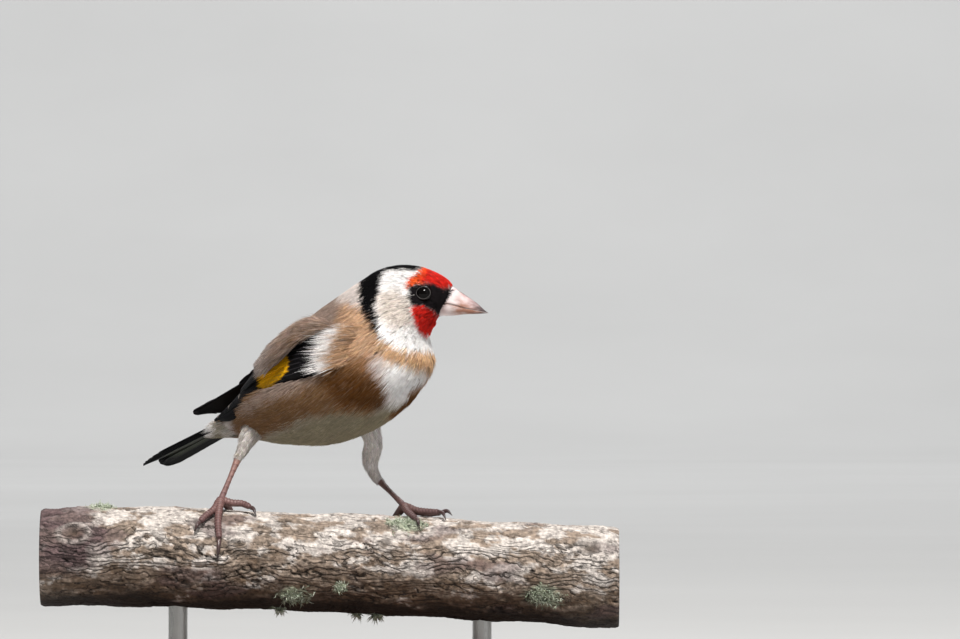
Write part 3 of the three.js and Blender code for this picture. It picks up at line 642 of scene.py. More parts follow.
# Markings as seen from the bird's right side, each with its outline in the photograph's pixels,
# the softness of its edge in millimetres and its colour, painted in this order
MARKINGS = [
    ("mantle", [(352, 262), (338, 300), (352, 330), (330, 372), (262, 400), (215, 430), (190, 400),
                (300, 290)], 1.6, MANTLE),
    ("rump", [(262, 372), (232, 400), (205, 425), (190, 400), (240, 350)], 1.5, BUFF),
    ("breast_side", [(345, 292), (372, 322), (392, 346), (404, 356), (398, 372), (388, 380), (386, 402),
                     (366, 424), (330, 420), (280, 416), (238, 438), (226, 396), (290, 372), (330, 340)],
     1.4, BROWN),
    ("shoulder", [(346, 296), (366, 318), (380, 340), (396, 352), (386, 360), (362, 358), (342, 356),
                  (324, 362), (332, 340)], 2.4, TAN),
    ("breast_band", [(376, 340), (402, 350), (434, 346), (440, 366), (420, 372), (400, 364), (384, 368)],
     1.2, BUFF),
    ("flank", [(322, 372), (332, 416), (300, 423), (280, 431), (250, 445), (232, 440), (226, 428),
               (234, 398), (286, 374)], 1.6, FLANK),
    ("flank_top", [(324, 372), (314, 384), (292, 392), (264, 402), (244, 416), (236, 412), (260, 392),
                   (286, 376)], 1.3, mix(FLANK, LILAC, 0.3)),
    ("dark_breast", [(316, 384), (336, 368), (352, 372), (376, 380), (386, 398), (380, 412), (340, 412)],
     2.4, TAWNY),
    ("bib", [(384, 362), (404, 368), (410, 402), (393, 405), (387, 390), (380, 374)], 1.5, WHITE),
    ("bib_edge", [(372, 358), (384, 358), (386, 372), (378, 378), (370, 368)], 1.6, LILAC),
    # The belly is painted with that shaded grey, as painted shade under the body
    ("belly", [(386, 408), (404, 406), (424, 410), (380, 444), (300, 468), (206, 460), (212, 424),
               (226, 440), (252, 442), (282, 427), (302, 419), (332, 415), (366, 417)], 1.4, BELLY_SHADED_GREY),
    ("nape", [(362, 276), (352, 280), (342, 288), (340, 300), (348, 306), (362, 308), (361, 296)],
     1.0, mix(LILAC, CREAM, 0.4)),
    ("cheek", [(378, 262), (420, 262), (446, 300), (446, 330), (436, 350), (416, 354), (400, 350),
               (378, 340), (368, 316), (370, 290)], 0.6, WHITE),
    # The cheek's middle is painted cream over the white, as painted shade
    ("cheek_shade", [(378, 294), (398, 290), (414, 302), (414, 326), (396, 330), (378, 316)], 1.6, CREAM),
    ("cap", [(424, 260), (380, 256), (361, 276), (359, 284), (358.5, 299), (361, 311), (366, 319),
             (371, 327), (378, 339), (382, 341), (380, 330), (377, 318), (375, 308), (378, 300), (381, 293),
             (381, 284), (384, 271.5), (400, 270), (417, 271), (424, 268)], 0.3, BLACK),
    ("mask_top", [(407.5, 287.5), (407.5, 281), (411, 277.5), (415, 275), (419, 272), (423, 268),
                  (428, 258), (446, 258), (458, 280), (456, 287), (450.5, 286.3), (444.6, 288.8),
                  (438, 286), (433, 284.3), (427, 283.4), (421, 283.6), (414, 285.6)], 0.22, ORANGE),
    ("forehead", [(420, 281), (429, 266), (448, 262), (458, 286), (440, 290), (430, 286)], 1.0, CRIMSON),
    ("mask_low", [(413.3, 306.5), (416, 304.8), (424, 305.5), (428, 308.5), (434.5, 311), (437, 316),
                  (441, 319.5), (446, 322), (440, 334), (432, 335.5), (422, 335), (420, 331), (417.5, 326),
                  (415.5, 319), (413.8, 312)], 0.22, CRIMSON),
    ("lores", [(410.5, 284.6), (414, 285.8), (421, 283.8), (427, 283.6), (433, 284.5), (438, 286.2),
               (444.6, 289), (450.5, 286.4), (460, 284), (460, 300), (452, 319), (441, 319.3), (437, 316),
               (434.5, 311), (428, 308.5), (424, 305.5), (416, 304.8), (413, 305.5), (411, 300),
               (410, 292)], 0.22, SOOT),
]


def inside(outline, points):
    """Distance of points from an outline, positive inside it."""
    corners = np.array(outline, float)
    far = np.full(len(points), np.inf)
    crossings = np.zeros(len(points), int)
    for a, b in zip(corners, np.roll(corners, -1, axis=0)):
        edge = b - a
        share = np.clip(((points - a) @ edge) / (edge @ edge), 0, 1)
        far = np.minimum(far, np.linalg.norm(points - a - share[:, None] * edge, axis=1))
        level = (a[1] > points[:, 1]) != (b[1] > points[:, 1])
        fall = np.where(b[1] == a[1], 1e-9, b[1] - a[1])
        cross_x = a[0] + (points[:, 1] - a[1]) * (b[0] - a[0]) / fall
        crossings += level & (points[:, 0] < cross_x)
    return np.where(crossings % 2 == 1, far, -far)


# Turn of the left breast's markings towards the middle of the breast, in radians, and the places
# along the body where it starts, is whole, begins to fade and ends
FAR_BREAST_SHIFT = 0.62
FAR_BREAST = (6.4, 7.6, 9.2, 10.4)


def plumage_colour(place, angle, ragged=0.0):
    """Colour of the plumage at a place and angle on the body. The two sides are alike, but for the
    turn of the left breast. ragged is how many pixels the markings' edges stray."""
    place, angle = floats(place, angle)
    start, whole, fading, end = FAR_BREAST
    breast = smooth(start, whole, place) * smooth(end, fading, place)
    mirrored = np.where(angle > 0, FAR_BREAST_SHIFT * breast - angle, angle)
    seen = photo_pixels(body_point(place, mirrored).reshape(-1, 3))
    seen = seen + ragged * rng.normal(0, 1, seen.shape)
    colour = np.tile(WHITE, (len(seen), 1))
    for _, outline, soft, tone in MARKINGS:
        colour = wash(colour, tone, smooth(-soft * PIXELS, soft * PIXELS, inside(outline, seen)))
    return colour


def vary(colours, amount):
    """Colours with a random change of lightness for each and a smaller one of hue."""
    light = 1 + amount * rng.normal(0, 1, (len(colours), 1))
    hue = 1 + amount * 0.25 * rng.normal(0, 1, (len(colours), 3))
    return np.clip(colours * light * hue, 0.002, 0.95)


# The coat

STRAND_POINTS = 7
STRAND_FACES = np.array([
    (0, 1, 4), (0, 4, 3), (1, 2, 5), (1, 5, 4), (2, 0, 3), (2, 3, 5),
    (3, 4, 6), (4, 5, 6), (5, 3, 6), (0, 2, 1),
])


def strand_points(root, lie, out, length, width, depth):
    """Points of thin tapered strands: three at the root, three in the bend and one at the tip. A
    strand leaves the skin at root, rises by depth and lies along lie."""
    across = unit(np.cross(out, lie))
    length, width, depth = (np.asarray(v, float)[:, None] for v in (length, width, depth))
    bend = root + lie * length * 0.45 + out * depth * 0.85
    tip = root + lie * length + out * depth
    start = root - out * 0.1
    sides = (across * width / -2, across * width / 2, out * width * 0.45)
    return np.stack([start + side for side in sides] + [bend + side for side in sides] + [tip], axis=1)


# How far the edges of a strand are shaded as if they turned away from the coat's own surface, and
# half of its width and length in the map OFBake
STRAND_ROUND = 0.6
STRAND_IN_MAP = (0.0012, 0.0014)


def add_tufts(heap, root, lie, out, size, depth, tone, uv, strands=6, spread=0.13, thick=1.0,
              streak=1.0, soft=True):
    """Tufts of strands at their roots. size is the tufts' length, and tone is their colour, or a
    function that gives the strands' colours from their shift across the lie, from -1 to 1. streak
    scales how much they differ."""
    count = len(root)
    across = unit(np.cross(out, lie))
    shade = 1 + rng.normal(0, 0.04 * streak, (count, 1))
    for _ in range(strands):
        side = rng.uniform(-1, 1, count)
        fan = side * spread + rng.normal(0, 0.04, count)
        turned = unit(lie + across * fan[:, None])
        start = root + across * (side * size * 0.1)[:, None]
        start = start + lie * (rng.uniform(-0.15, 0.15, count) * size)[:, None]
        length = size * rng.uniform(0.7, 1.12, count) * (1 - 0.15 * np.abs(side))
        rise = depth * rng.uniform(0.84, 1.06, count)
        points = strand_points(start, turned, out, length, thick * (0.062 + 0.018 * size), rise)
        colours = np.clip((tone(side) if callable(tone) else tone) * shade, 0, 1)
        redness = np.clip((colours[:, 0] - colours[:, 1]) * 2.5 - 0.35, 0, 1)
        brown = np.clip((colours[:, 0] - colours[:, 2]) * 3.5, 0, 1) * (1 - redness)
        pale = brown * (rng.uniform(0, 1, count) < 0.16) * rng.uniform(0.15, 0.5, count) * streak
        colours = wash(colours, CREAM * 0.75, pale)
        colours = vary(colours, ((0.05 + 0.08 * brown) * streak + 0.16 * redness)[:, None])
        # Each strand is painted darker at its root, most in red parts, as painted shade under the strands
        # over it, and a little lighter at its tip
        root_shade = mix(0.86, 0.35, redness)
        steps = np.stack([root_shade] * 3 + [np.ones(count)] * 3 + [np.full(count, 1.06)], 1)
        colours = np.clip(colours[:, None, :] * steps[..., None], 0, 0.95)
        wide, long = STRAND_IN_MAP
        patch = np.stack([side * wide, np.zeros(count)], -1)[:, None, :] + uv[:, None, :]
        patch = patch + np.array([(0, -long)] * 3 + [(0, 0)] * 3 + [(0, long)])
        faces = (np.arange(count)[:, None, None] * STRAND_POINTS + STRAND_FACES).reshape(-1, 3)
        turns = np.array([-1, 1, 0, -1, 1, 0, 0])[None, :, None] * STRAND_ROUND * across[:, None, :]
        normals = unit(out[:, None, :] + turns) if soft else None
        heap.add(points, faces, colours.reshape(-1, 3), patch, None, normals)


def streaks(colours, across, along, strength, seed):
    """Colours with lighter and darker streaks along the lie of the feathers. across and along are
    distances in millimetres on the coat."""
    wave = lattice_noise(np.stack([across / 0.42, along / 2.6, 0 * along], -1), seed)
    light = 1 + strength * wave + 0.8 * strength * np.maximum(wave - 0.25, 0)
    return colours * light[:, None]


def coat_roots():
    """Roots of the body's tufts: places and angles, evenly apart for their size."""
    places, angles = [], []
    place, shift = 0.04, 0.02
    ring_angles = full_turn(48)
    while place < LAST_RING - shift:
        step = float(through(TUFT_STEP, place / LAST_RING))
        before, after = (body_point(place + way * shift, ring_angles) for way in (-1, 1))
        ahead = np.linalg.norm(after - before, axis=1) / (2 * shift)
        ring = body_point(place, ring_angles)
        around = np.linalg.norm(ring - np.roll(ring, -1, axis=0), axis=1).sum()
        count = max(int(around / step), 6)
        order = np.arange(count) + rng.uniform(0, 1) + rng.uniform(-0.35, 0.35, count)
        turn = (FULL_TURN * order / count + math.pi) % FULL_TURN - math.pi
        reach = np.interp(turn % FULL_TURN, ring_angles, ahead, period=FULL_TURN)
        keep = rng.uniform(0, 1, count) < reach / ahead.max()
        places.append(place + rng.uniform(-0.4, 0.4, keep.sum()) * step / ahead.max())
        angles.append(turn[keep])
        place += step / ahead.max()
    return np.clip(np.concatenate(places), 0.02, LAST_RING - 0.01), np.concatenate(angles)


# Edge of the feathers where the bill grows, as heights and the places along X there
BILL_EDGE_Z = [98.6, 99.4, 101.0, 102.9, 104.9, 107.4]
BILL_EDGE_X = [27.9, 28.4, 28.9, 29.9, 31.0, 32.6]


def on_bill(points):
    """Which points of the face lie where the bill grows, in front of the feathers' edge."""
    return points[:, 0] > np.interp(points[:, 2], BILL_EDGE_Z, BILL_EDGE_X)


def eye_frame(side):
    """Middle of an eye's opening on the face, its outward direction and the ball's middle."""
    x, z, lean, up, down, wide = through(BODY, EYE["ring"] / LAST_RING)
    lean = math.radians(lean)
    middle = np.array([x, float(middle_y(x)), z])
    up_dir = -math.sin(lean) * forward_at(x) + math.cos(lean) * UP
    target = np.array([EYE["x"], 0.0, EYE["z"]])
    rise = float((target - middle) @ up_dir)
    tall = up if rise > 0 else down
    reach = wide * math.sqrt(max(1 - (rise / tall) ** 2, 0))
    surface = middle + up_dir * rise + left_at(x) * side * reach
    surface[0], surface[2] = EYE["x"], EYE["z"]
    out = unit(left_at(x) * side + up_dir * 0.18)
    return surface, out, surface - out * EYE["sunk"]


# Millimetres along the coat for each ring of the body, as its colours and its streaks count them
COLOUR_RING, STREAK_RING = 3.4, 4.2

# Pieces of the coat: where along the body each starts and ends, and its side if it has one
COAT_PIECES = [
    ("coat_head_front", 0, 2.6, 0),
    ("coat_head", 2.6, 4.6, 0),
    ("coat_neck", 4.6, 6.6, 0),
    ("coat_breast_right", 6.6, 9.6, -1),
    ("coat_breast_left", 6.6, 9.6, 1),
    ("coat_belly_right", 9.6, 12, -1),
    ("coat_belly_left", 9.6, 12, 1),
    ("coat_rump", 12, LAST_RING, 0),
]


def build_coat(material):
    places, angles = coat_roots()
    depth = coat_depth(places)
    root = body_point(places, angles, -depth)
    along, around, out = body_directions(places, angles)
    keep = ~on_bill(root)
    sinks = np.zeros_like(root)
    for sheet in sheets.values():
        cover, sink = wing_cover(sheet, root)
        keep &= cover < 0.45
        sinks += sink
    root = root + sinks
    size = through(TUFT_LENGTH, places / LAST_RING) * rng.uniform(0.85, 1.15, len(places))
    swirl = rng.normal(0, 0.05, len(places)) + 0.08 * np.sin(places * 2.1 + angles * 2)
    lie = unit(along + around * swirl[:, None])
    opening = LID["radius"] + 0.2
    for side in (1, -1):
        surface = eye_frame(side)[0]
        clear = np.linalg.norm(root - surface, axis=1) - opening
        reach = np.linalg.norm(root + lie * size[:, None] - surface, axis=1) - opening
        keep &= clear > 0.05
        crossing = ((lie * (surface - root)).sum(-1) > 0) & (clear < size)
        short = np.minimum(size, np.maximum(clear * 0.8, 0.35))
        size = np.where((reach < 0.6) | crossing, short, size)
    free = size * 0.7
    drift = angles * through(BODY[:, 5], places / LAST_RING) + swirl * free
    uv = in_map(places / LAST_RING, (angles + math.pi) / FULL_TURN)
    pieces = []
    for name, start, end, side in COAT_PIECES:
        chosen = keep & (places >= start) & (places < end)
        chosen &= (side == 0) | ((angles >= 0) == (side > 0))
        middle, turn = places[chosen] + 0.3 * size[chosen] / COLOUR_RING, angles[chosen]
        across, far = drift[chosen], places[chosen] * STREAK_RING + free[chosen]
        fan = free[chosen] * 0.27

        def tone(shift):
            colours = plumage_colour(middle, turn + shift * 0.01, ragged=0.9)
            brown = np.clip((colours[:, 0] - colours[:, 2]) * 4.5, 0, 1)
            return streaks(colours, across + shift * fan, far, 0.1 + 0.5 * brown, 77)

        heap = Heap()
        add_tufts(heap, root[chosen], lie[chosen], out[chosen], size[chosen], depth[chosen], tone,
                  uv[chosen], strands=7 if name.startswith("coat_head") else 10)
        pieces.append(heap.mesh(name, material))
    return pieces


# Bristles at the base of the bill: their number on a side, and their lowest and highest places
BRISTLES = {"count": 90, "low_z": 98.9, "high_z": 106.3}


def build_bristles(material):
    """Short black bristles that point forwards over the base of the bill."""
    heap = Heap()
    count = BRISTLES["count"]
    for side in (1, -1):
        z = rng.uniform(BRISTLES["low_z"], BRISTLES["high_z"], count)
        x = np.interp(z, BILL_EDGE_Z, BILL_EDGE_X) - rng.uniform(0.0, 0.5, count)
        t = (x - BILL["gape_x"]) / (BILL["tip_x"] - BILL["gape_x"])
        mouth = through(BILL["mouth_z"], np.clip(t, 0, 1))
        tall = np.where(z > mouth, bill_size("upper", t), bill_size("lower", t))
        rise = np.clip(np.abs(z - mouth) / tall, 0, 0.995)
        wide = np.sqrt(1 - rise ** 2)
        middle = np.stack([x, middle_y(x), z], -1)
        out = unit(side * left_at(x) * wide[:, None] + UP * (np.sign(z - mouth) * rise)[:, None])
        root = middle + side * left_at(x) * (bill_size("width", t) / 2 * wide)[:, None] - out * 0.1
        down = np.where(z > mouth, rng.uniform(-0.5, -0.1, count), rng.uniform(-0.2, 0.1, count))
        lie = unit(forward_at(x) + UP * down[:, None])
        size = rng.uniform(0.7, 1.7, count) * np.where(z > mouth, 1.0, 0.7)
        uv = np.stack([np.full(count, MAP_MARGIN), 0.5 + side * 0.2 + 0.001 * z], -1)
        add_tufts(heap, root, lie, out, size, 0.22, BLACK, uv, strands=3, spread=0.15, thick=1.1)
    return heap.mesh("bill_bristles", material)


# Plumes of the breast's sides: their number, the rings and the angles between which they grow, and
# how deep they start under the skin
PLUMES = {"count": 640, "rings": (5.5, 11), "angles": (0.2, 2.4), "sunk": 0.5}


def build_plumes(name, material):
    """Long hair-like feathers, tan in front and white behind, which lie back over the wing's front."""
    sheet, count = sheets[name], PLUMES["count"]
    rings, angles = (np.linspace(*PLUMES[key], 160) for key in ("rings", "angles"))
    place, angle = pairs(rings, sheet.side * angles)
    spots = body_point(place, angle, -coat_depth(place) - PLUMES["sunk"]).reshape(-1, 3)
    share = rng.uniform(0.02, 1.2, count)
    ahead = rng.uniform(0, 1, count)
    t = mix(0.02, -0.095, share / 1.2) - 0.1 * (1 - ahead) + rng.normal(0, 0.012, count)
    a, b = sheet.spot(t, share)
    root = spots[finder(spots)(sheet.place(a, b, 0.0))]
    size = mix(6.0, rng.uniform(5.5, 10.5, count), smooth(0.2, 0.7, ahead))
    reach = a + size * 0.8
    lift = through(WING_OUTER, reach / sheet.length) + mix(0.3, 0.45, ahead)
    tip = sheet.place(reach, b + rng.normal(-0.3, 0.7, count) - 0.8 * (1 - share), lift)
    lie = unit(tip - root)
    out = square_to(unit(sheet.place(a, b, 1.0) - sheet.place(a, b, 0.0)), lie)
    white = smooth(0.42, 0.66, ahead + rng.normal(0, 0.1, count))
    warm = mix(TAN, BROWN, rng.uniform(0, 0.6, (count, 1)))
    pale = mix(WHITE, SLATE, rng.uniform(0, 0.6, (count, 1)) ** 2)
    heap = Heap()
    add_tufts(heap, root, lie, out, size, 0.6, wash(warm, pale, white),
              in_map(np.clip(t + 0.15, 0, 1), np.clip(share, 0, 1)), spread=-0.05, thick=0.5)
    return heap.mesh(f"breast_plumes_{name}", material)


# Materials

def give(node, inputs):
    """Links a node's inputs, by name or number, to other nodes' outputs, or sets them to values."""
    for name, value in inputs.items():
        socket = node.inputs[name]
        if isinstance(value, bpy.types.NodeSocket):
            node.id_data.links.new(value, socket)
        elif socket.type == "RGBA":
            socket.default_value = (*(float(part) for part in value), 1.0)
        else:
            socket.default_value = value


def add_node(tree, kind, inputs=None, **settings):
    """New node with its own settings and its inputs as give takes them."""
    node = tree.nodes.new(kind)
    for name, value in settings.items():
        setattr(node, name, value)
    give(node, inputs or {})
    return node


def attribute(tree, name):
    """The colour painted on a mesh's points under a name."""
    return add_node(tree, "ShaderNodeAttribute", attribute_name=name).outputs["Color"]


def parts_of(tree, vector):
    return add_node(tree, "ShaderNodeSeparateXYZ", {"Vector": vector}).outputs


def stretched(tree, along=1.0, upwards=1.0):
    """Object coordinates whose X and Z are scaled, so that patterns run long or short there."""
    place = add_node(tree, "ShaderNodeTexCoord").outputs["Object"]
    scale = (along, 1.0, upwards)
    return add_node(tree, "ShaderNodeMapping", {"Vector": place, "Scale": scale}).outputs["Vector"]


def noise(tree, scale, detail=4.0, rough=0.55, vector=None, result="Fac"):
    vector = vector or add_node(tree, "ShaderNodeTexCoord").outputs["Object"]
    inputs = {"Vector": vector, "Scale": scale, "Detail": detail, "Roughness": rough}
    return add_node(tree, "ShaderNodeTexNoise", inputs).outputs[result]


def map_range(tree, value, low, high, to_low=0.0, to_high=1.0):
    inputs = {"Value": value, "From Min": low, "From Max": high, "To Min": to_low, "To Max": to_high}
    return add_node(tree, "ShaderNodeMapRange", inputs).outputs["Result"]


# Numbers of a colour mix node's inputs and output
MIX_SHARE, MIX_FIRST, MIX_SECOND, MIX_RESULT = 0, 6, 7, 2


def blend_colour(tree, kind, share, first, second):
    inputs = {MIX_SHARE: share, MIX_FIRST: first, MIX_SECOND: second}
    node = add_node(tree, "ShaderNodeMix", data_type="RGBA", blend_type=kind, inputs=inputs)
    return node.outputs[MIX_RESULT]


def calculate(tree, operation, *values):
    """Result of a math node, each of whose inputs is a number or another node's output."""
    node = add_node(tree, "ShaderNodeMath", dict(enumerate(values)), operation=operation)
    return node.outputs["Value"]


def bump(tree, height, strength, distance):
    inputs = {"Height": height, "Strength": strength, "Distance": distance}
    return add_node(tree, "ShaderNodeBump", inputs).outputs["Normal"]


def make_mottle():
    """Node group that darkens and lightens a colour in fine spots, and gives the spots' height."""
    group = bpy.data.node_groups.new("fine_mottle", "ShaderNodeTree")
    ways = {"INPUT": ("Colour", "Scale", "Darkest", "Lightest"), "OUTPUT": ("Colour", "Height")}
    for way, names in ways.items():
        for name in names:
            kind = "NodeSocketColor" if name == "Colour" else "NodeSocketFloat"
            group.interface.new_socket(name=name, in_out=way, socket_type=kind)
    given = add_node(group, "NodeGroupInput").outputs
    spots = noise(group, given["Scale"], 5.0, 0.5)
    light = map_range(group, spots, 0.3, 0.7, given["Darkest"], given["Lightest"])
    colour = blend_colour(group, "MULTIPLY", 1.0, given["Colour"], light)
    add_node(group, "NodeGroupOutput", {"Colour": colour, "Height": spots})
    return group


mottle = make_mottle()


def painted(tree, scale, darkest, lightest):
    """The colour painted on a mesh's points, with fine spots, and the spots' height."""
    colour = attribute(tree, "Tint")
    inputs = {"Colour": colour, "Scale": scale, "Darkest": darkest, "Lightest": lightest}
    outputs = add_node(tree, "ShaderNodeGroup", inputs, node_tree=mottle).outputs
    return outputs["Colour"], outputs["Height"]


def new_material(name):
    material = bpy.data.materials.new(name)
    material.use_nodes = True
    tree = material.node_tree
    tree.nodes.clear()
    output = add_node(tree, "ShaderNodeOutputMaterial")
    shader = add_node(tree, "ShaderNodeBsdfPrincipled")
    give(output, {"Surface": shader.outputs["BSDF"]})
    return material, tree, shader


def plumage_material(name):
    material, tree, shader = new_material(name)
    colour, _ = painted(tree, 900.0, 0.86, 1.1)
    give(shader, {"Base Color": colour, "Roughness": 0.8, "Specular IOR Level": 0.08})
    return material


def vane_material(name):
    """Smooth feather whose fine barbs slant away from the shaft on both webs."""
    material, tree, shader = new_material(name)
    colour, _ = painted(tree, 1400.0, 0.8, 1.15)
    place = parts_of(tree, add_node(tree, "ShaderNodeUVMap", uv_map="Barbs").outputs["UV"])
    slant = calculate(tree, "MULTIPLY_ADD", calculate(tree, "ABSOLUTE", place["X"]), -1.8, place["Y"])
    comb = calculate(tree, "SINE", calculate(tree, "MULTIPLY", slant, 22.0))
    rows = map_range(tree, comb, -1.0, 1.0, 0.78, 1.1)
    give(shader, {
        "Base Color": blend_colour(tree, "MULTIPLY", 1.0, colour, rows),
        "Roughness": 0.56,
        "Specular IOR Level": 0.1,
        "Normal": bump(tree, comb, 0.3, 0.0001),
    })
    return material


def skin_material(name, roughness, scale, darkest, lightest, relief, depth):
    """Bare skin or lichen: its painted colour in fine spots, and the same spots as a relief."""
    material, tree, shader = new_material(name)
    colour, height = painted(tree, scale, darkest, lightest)
    normal = bump(tree, height, relief, depth)
    give(shader, {"Base Color": colour, "Roughness": roughness, "Normal": normal})
    return material


def horn_material(name, roughness):
    material, tree, shader = new_material(name)
    colour, _ = painted(tree, 700.0, 0.88, 1.06)
    give(shader, {
        "Base Color": colour,
        "Roughness": roughness,
        "Subsurface Weight": 0.06,
        "Subsurface Radius": (0.0012, 0.0006, 0.0004),
        "Subsurface Scale": 1.0,
        "Normal": bump(tree, noise(tree, 1500.0, 5.0), 0.12, 0.0002),
    })
    return material


def eye_material():
    material, tree, shader = new_material("eye")
    light = map_range(tree, noise(tree, 1800.0, 3.0), 0.35, 0.65)
    colour = blend_colour(tree, "MIX", light, (0.0008, 0.0006, 0.0005), (0.003, 0.002, 0.0015))
    give(shader, {"Base Color": colour, "Roughness": 0.04, "Specular IOR Level": 0.14})
    return material


def bark_material():
    """Bark with wavy dark lines along it, most of them below, and fine pits and cracks above."""
    material, tree, shader = new_material("bark")
    colour, spots = painted(tree, 900.0, 0.5, 1.4)
    turned = parts_of(tree, attribute(tree, "Turn"))
    upwards, sideways = turned["X"], turned["Y"]
    wide = noise(tree, 105.0, 3.0, 0.5, stretched(tree, 0.45))
    narrow = noise(tree, 420.0, 4.0, 0.6, stretched(tree, 0.5))
    angle = calculate(tree, "ARCTAN2", sideways, upwards)
    phase = calculate(tree, "MULTIPLY", angle, BARK_LINES / FULL_TURN)
    phase = calculate(tree, "MULTIPLY_ADD", wide, 10.0, phase)
    phase = calculate(tree, "MULTIPLY_ADD", narrow, 2.2, phase)
    ridge = calculate(tree, "FRACT", phase)
    line = map_range(tree, ridge, 0.0, 0.36, 1.0, 0.0)
    broken = map_range(tree, noise(tree, 260.0, 3.0, 0.5, stretched(tree, 0.35)), 0.4, 0.52)
    below = map_range(tree, upwards, 0.8, 0.2, 0.3, 1.0)
    line = calculate(tree, "MULTIPLY", calculate(tree, "MULTIPLY", line, broken), below)
    wander = noise(tree, 420.0, 4.0, 0.5, stretched(tree), "Color")
    bent = {0: wander, 1: (0.004, 0.004, 0.004), 2: stretched(tree, 0.3)}
    bent = add_node(tree, "ShaderNodeVectorMath", operation="MULTIPLY_ADD", inputs=bent).outputs["Vector"]
    cells = add_node(tree, "ShaderNodeTexVoronoi", {"Vector": bent, "Scale": 420.0},
                     feature="DISTANCE_TO_EDGE")
    net = map_range(tree, cells.outputs["Distance"], 0.0, 0.1, 1.0, 0.0)
    patches = map_range(tree, noise(tree, 190.0, 3.0, 0.5, stretched(tree, 0.6)), 0.46, 0.62)
    net = calculate(tree, "MULTIPLY", net, patches)
    pits = map_range(tree, noise(tree, 620.0, 5.0, 0.7, stretched(tree, 0.6)), 0.36, 0.28)
    # Lines, cracks and pits are painted near black, as painted shade: the lines at the low foot of each
    # lengthwise ridge, the cracks and pits in the hollows that the bump sinks
    marks = calculate(tree, "MAXIMUM", line, calculate(tree, "MULTIPLY", net, 0.55))
    marks = calculate(tree, "MAXIMUM", marks, calculate(tree, "MULTIPLY", pits, 0.8))
    rise = calculate(tree, "MULTIPLY", calculate(tree, "MULTIPLY", ridge, below), 0.5)
    rise = calculate(tree, "MULTIPLY_ADD", spots, 1.0, rise)
    give(shader, {
        "Base Color": blend_colour(tree, "MIX", marks, colour, paint(30, 23, 19)),
        "Roughness": 0.95,
        "Normal": bump(tree, calculate(tree, "SUBTRACT", rise, marks), 1.0, 0.0006),
    })
    return material


def wood_material():
    material, tree, shader = new_material("stand_wood")
    grain = noise(tree, 420.0, 6.0, 0.6, stretched(tree, 0.06))
    share = map_range(tree, grain, 0.3, 0.7)
    give(shader, {
        "Base Color": blend_colour(tree, "MIX", share, paint(58, 34, 20), paint(112, 70, 42)),
        "Roughness": 0.42,
        "Coat Weight": 0.2,
        "Coat Roughness": 0.25,
        "Normal": bump(tree, grain, 0.15, 0.0003),
    })
    return material


def metal_material():
    material, tree, shader = new_material("stand_metal")
    brushed = noise(tree, 2400.0, 4.0, 0.6, stretched(tree, upwards=0.05))
    give(shader, {
        "Base Color": blend_colour(tree, "MIX", brushed, paint(150, 150, 148), paint(190, 189, 186)),
        "Roughness": map_range(tree, brushed, 0.3, 0.7, 0.25, 0.42),
        "Metallic": 1.0,
    })
    return material


# Skin, bill and eyes

# Size of the skin's voxels, how far it lies inside the thighs' radii, and the ring of the body
# whose lowest point is the belly's, under which the skin is pale, as on the thighs
SKIN_VOXEL, THIGH_DEPTH, BELLY_RING = 0.45, 0.4, 10.0


def build_skin(material):
    """One skin of the head, neck, torso, shoulders and thighs, inside the coat by its depth."""
    rings, sides = 150, 96
    place, angle = pairs(np.linspace(0, LAST_RING, rings), full_turn(sides, -math.pi))
    face = 0.5 * (1 - smooth(0.4, 2.0, place))
    points = body_point(place, angle, -coat_depth(place) - face).reshape(-1, 3)
    for sheet in sheets.values():
        points = points + wing_cover(sheet, points)[1]
    shapes = [closed_tube(points.reshape(rings, sides, 3))]
    shapes += [shoulder_shape(sheet) for sheet in sheets.values()]
    for leg in LEGS.values():
        radii = [radius - THIGH_DEPTH for radius in leg["thigh_radius"]]
        shapes.append(closed_tube(limb_rings(leg["thigh"], radii, 60, 32)))
    parts = [make_mesh(f"skin_part_{i}", *shape, material) for i, shape in enumerate(shapes)]
    bpy.ops.object.select_all(action="DESELECT")
    for part in parts:
        part.select_set(True)
    skin = parts[0]
    bpy.context.view_layer.objects.active = skin
    bpy.ops.object.join()
    skin.name = skin.data.name = "skin"
    remesh = skin.modifiers.new("one_skin", "REMESH")
    remesh.mode = "VOXEL"
    remesh.voxel_size = SKIN_VOXEL * MM
    remesh.use_smooth_shade = True
    bpy.ops.object.modifier_apply(modifier=remesh.name)
    spots = mesh_points(skin.data) / MM
    nearest = finder(points)(spots)
    colours = plumage_colour(place.ravel()[nearest], angle.ravel()[nearest]) * SKIN_SHADE
    colours[spots[:, 2] < body_point(BELLY_RING, math.pi)[2] - 0.5] = LILAC * SKIN_SHADE
    paint_points(skin.data, "Tint", colours)
    if not skin.data.materials:
        skin.data.materials.append(material)
    return skin


def bill_size(measure, t):
    """A size of the bill at t, which grows a little where t is under 0, behind the gape."""
    return through(BILL[measure], np.clip(t, 0, 1)) * (1 - 0.5 * np.minimum(t, 0))


def mouth_z(half, t):
    return through(BILL["mouth_z"], np.clip(t, 0, 1)) + half * BILL["gap"]


def bill_point(half, t, turn):
    """Point on the upper half of the bill, 1, or the lower, -1, at t along it and turned round it
    from one edge over its middle to the other."""
    t, turn = floats(t, turn)
    start = np.array([BILL["gape_x"], float(middle_y(BILL["gape_x"])), 0.0])
    far = t * (BILL["tip_x"] - BILL["gape_x"])
    point = start + far[..., None] * forward_at(BILL["tip_x"])
    tall = bill_size("upper" if half > 0 else "lower", t)
    wide = half * bill_size("width", t) / 2 * np.cos(turn)
    point = point + wide[..., None] * left_at(BILL["tip_x"])
    point[..., 2] = mouth_z(half, t) + half * tall * np.sin(turn)
    return point


# The nostrils: place along the bill, turn round it, reach and depth, and how much a distance from
# one counts along X, Y and Z
NOSTRIL = {"along": 0.1, "turn": math.radians(52), "reach": 0.5, "depth": 0.45, "stretch": (1, 1, 1.5)}


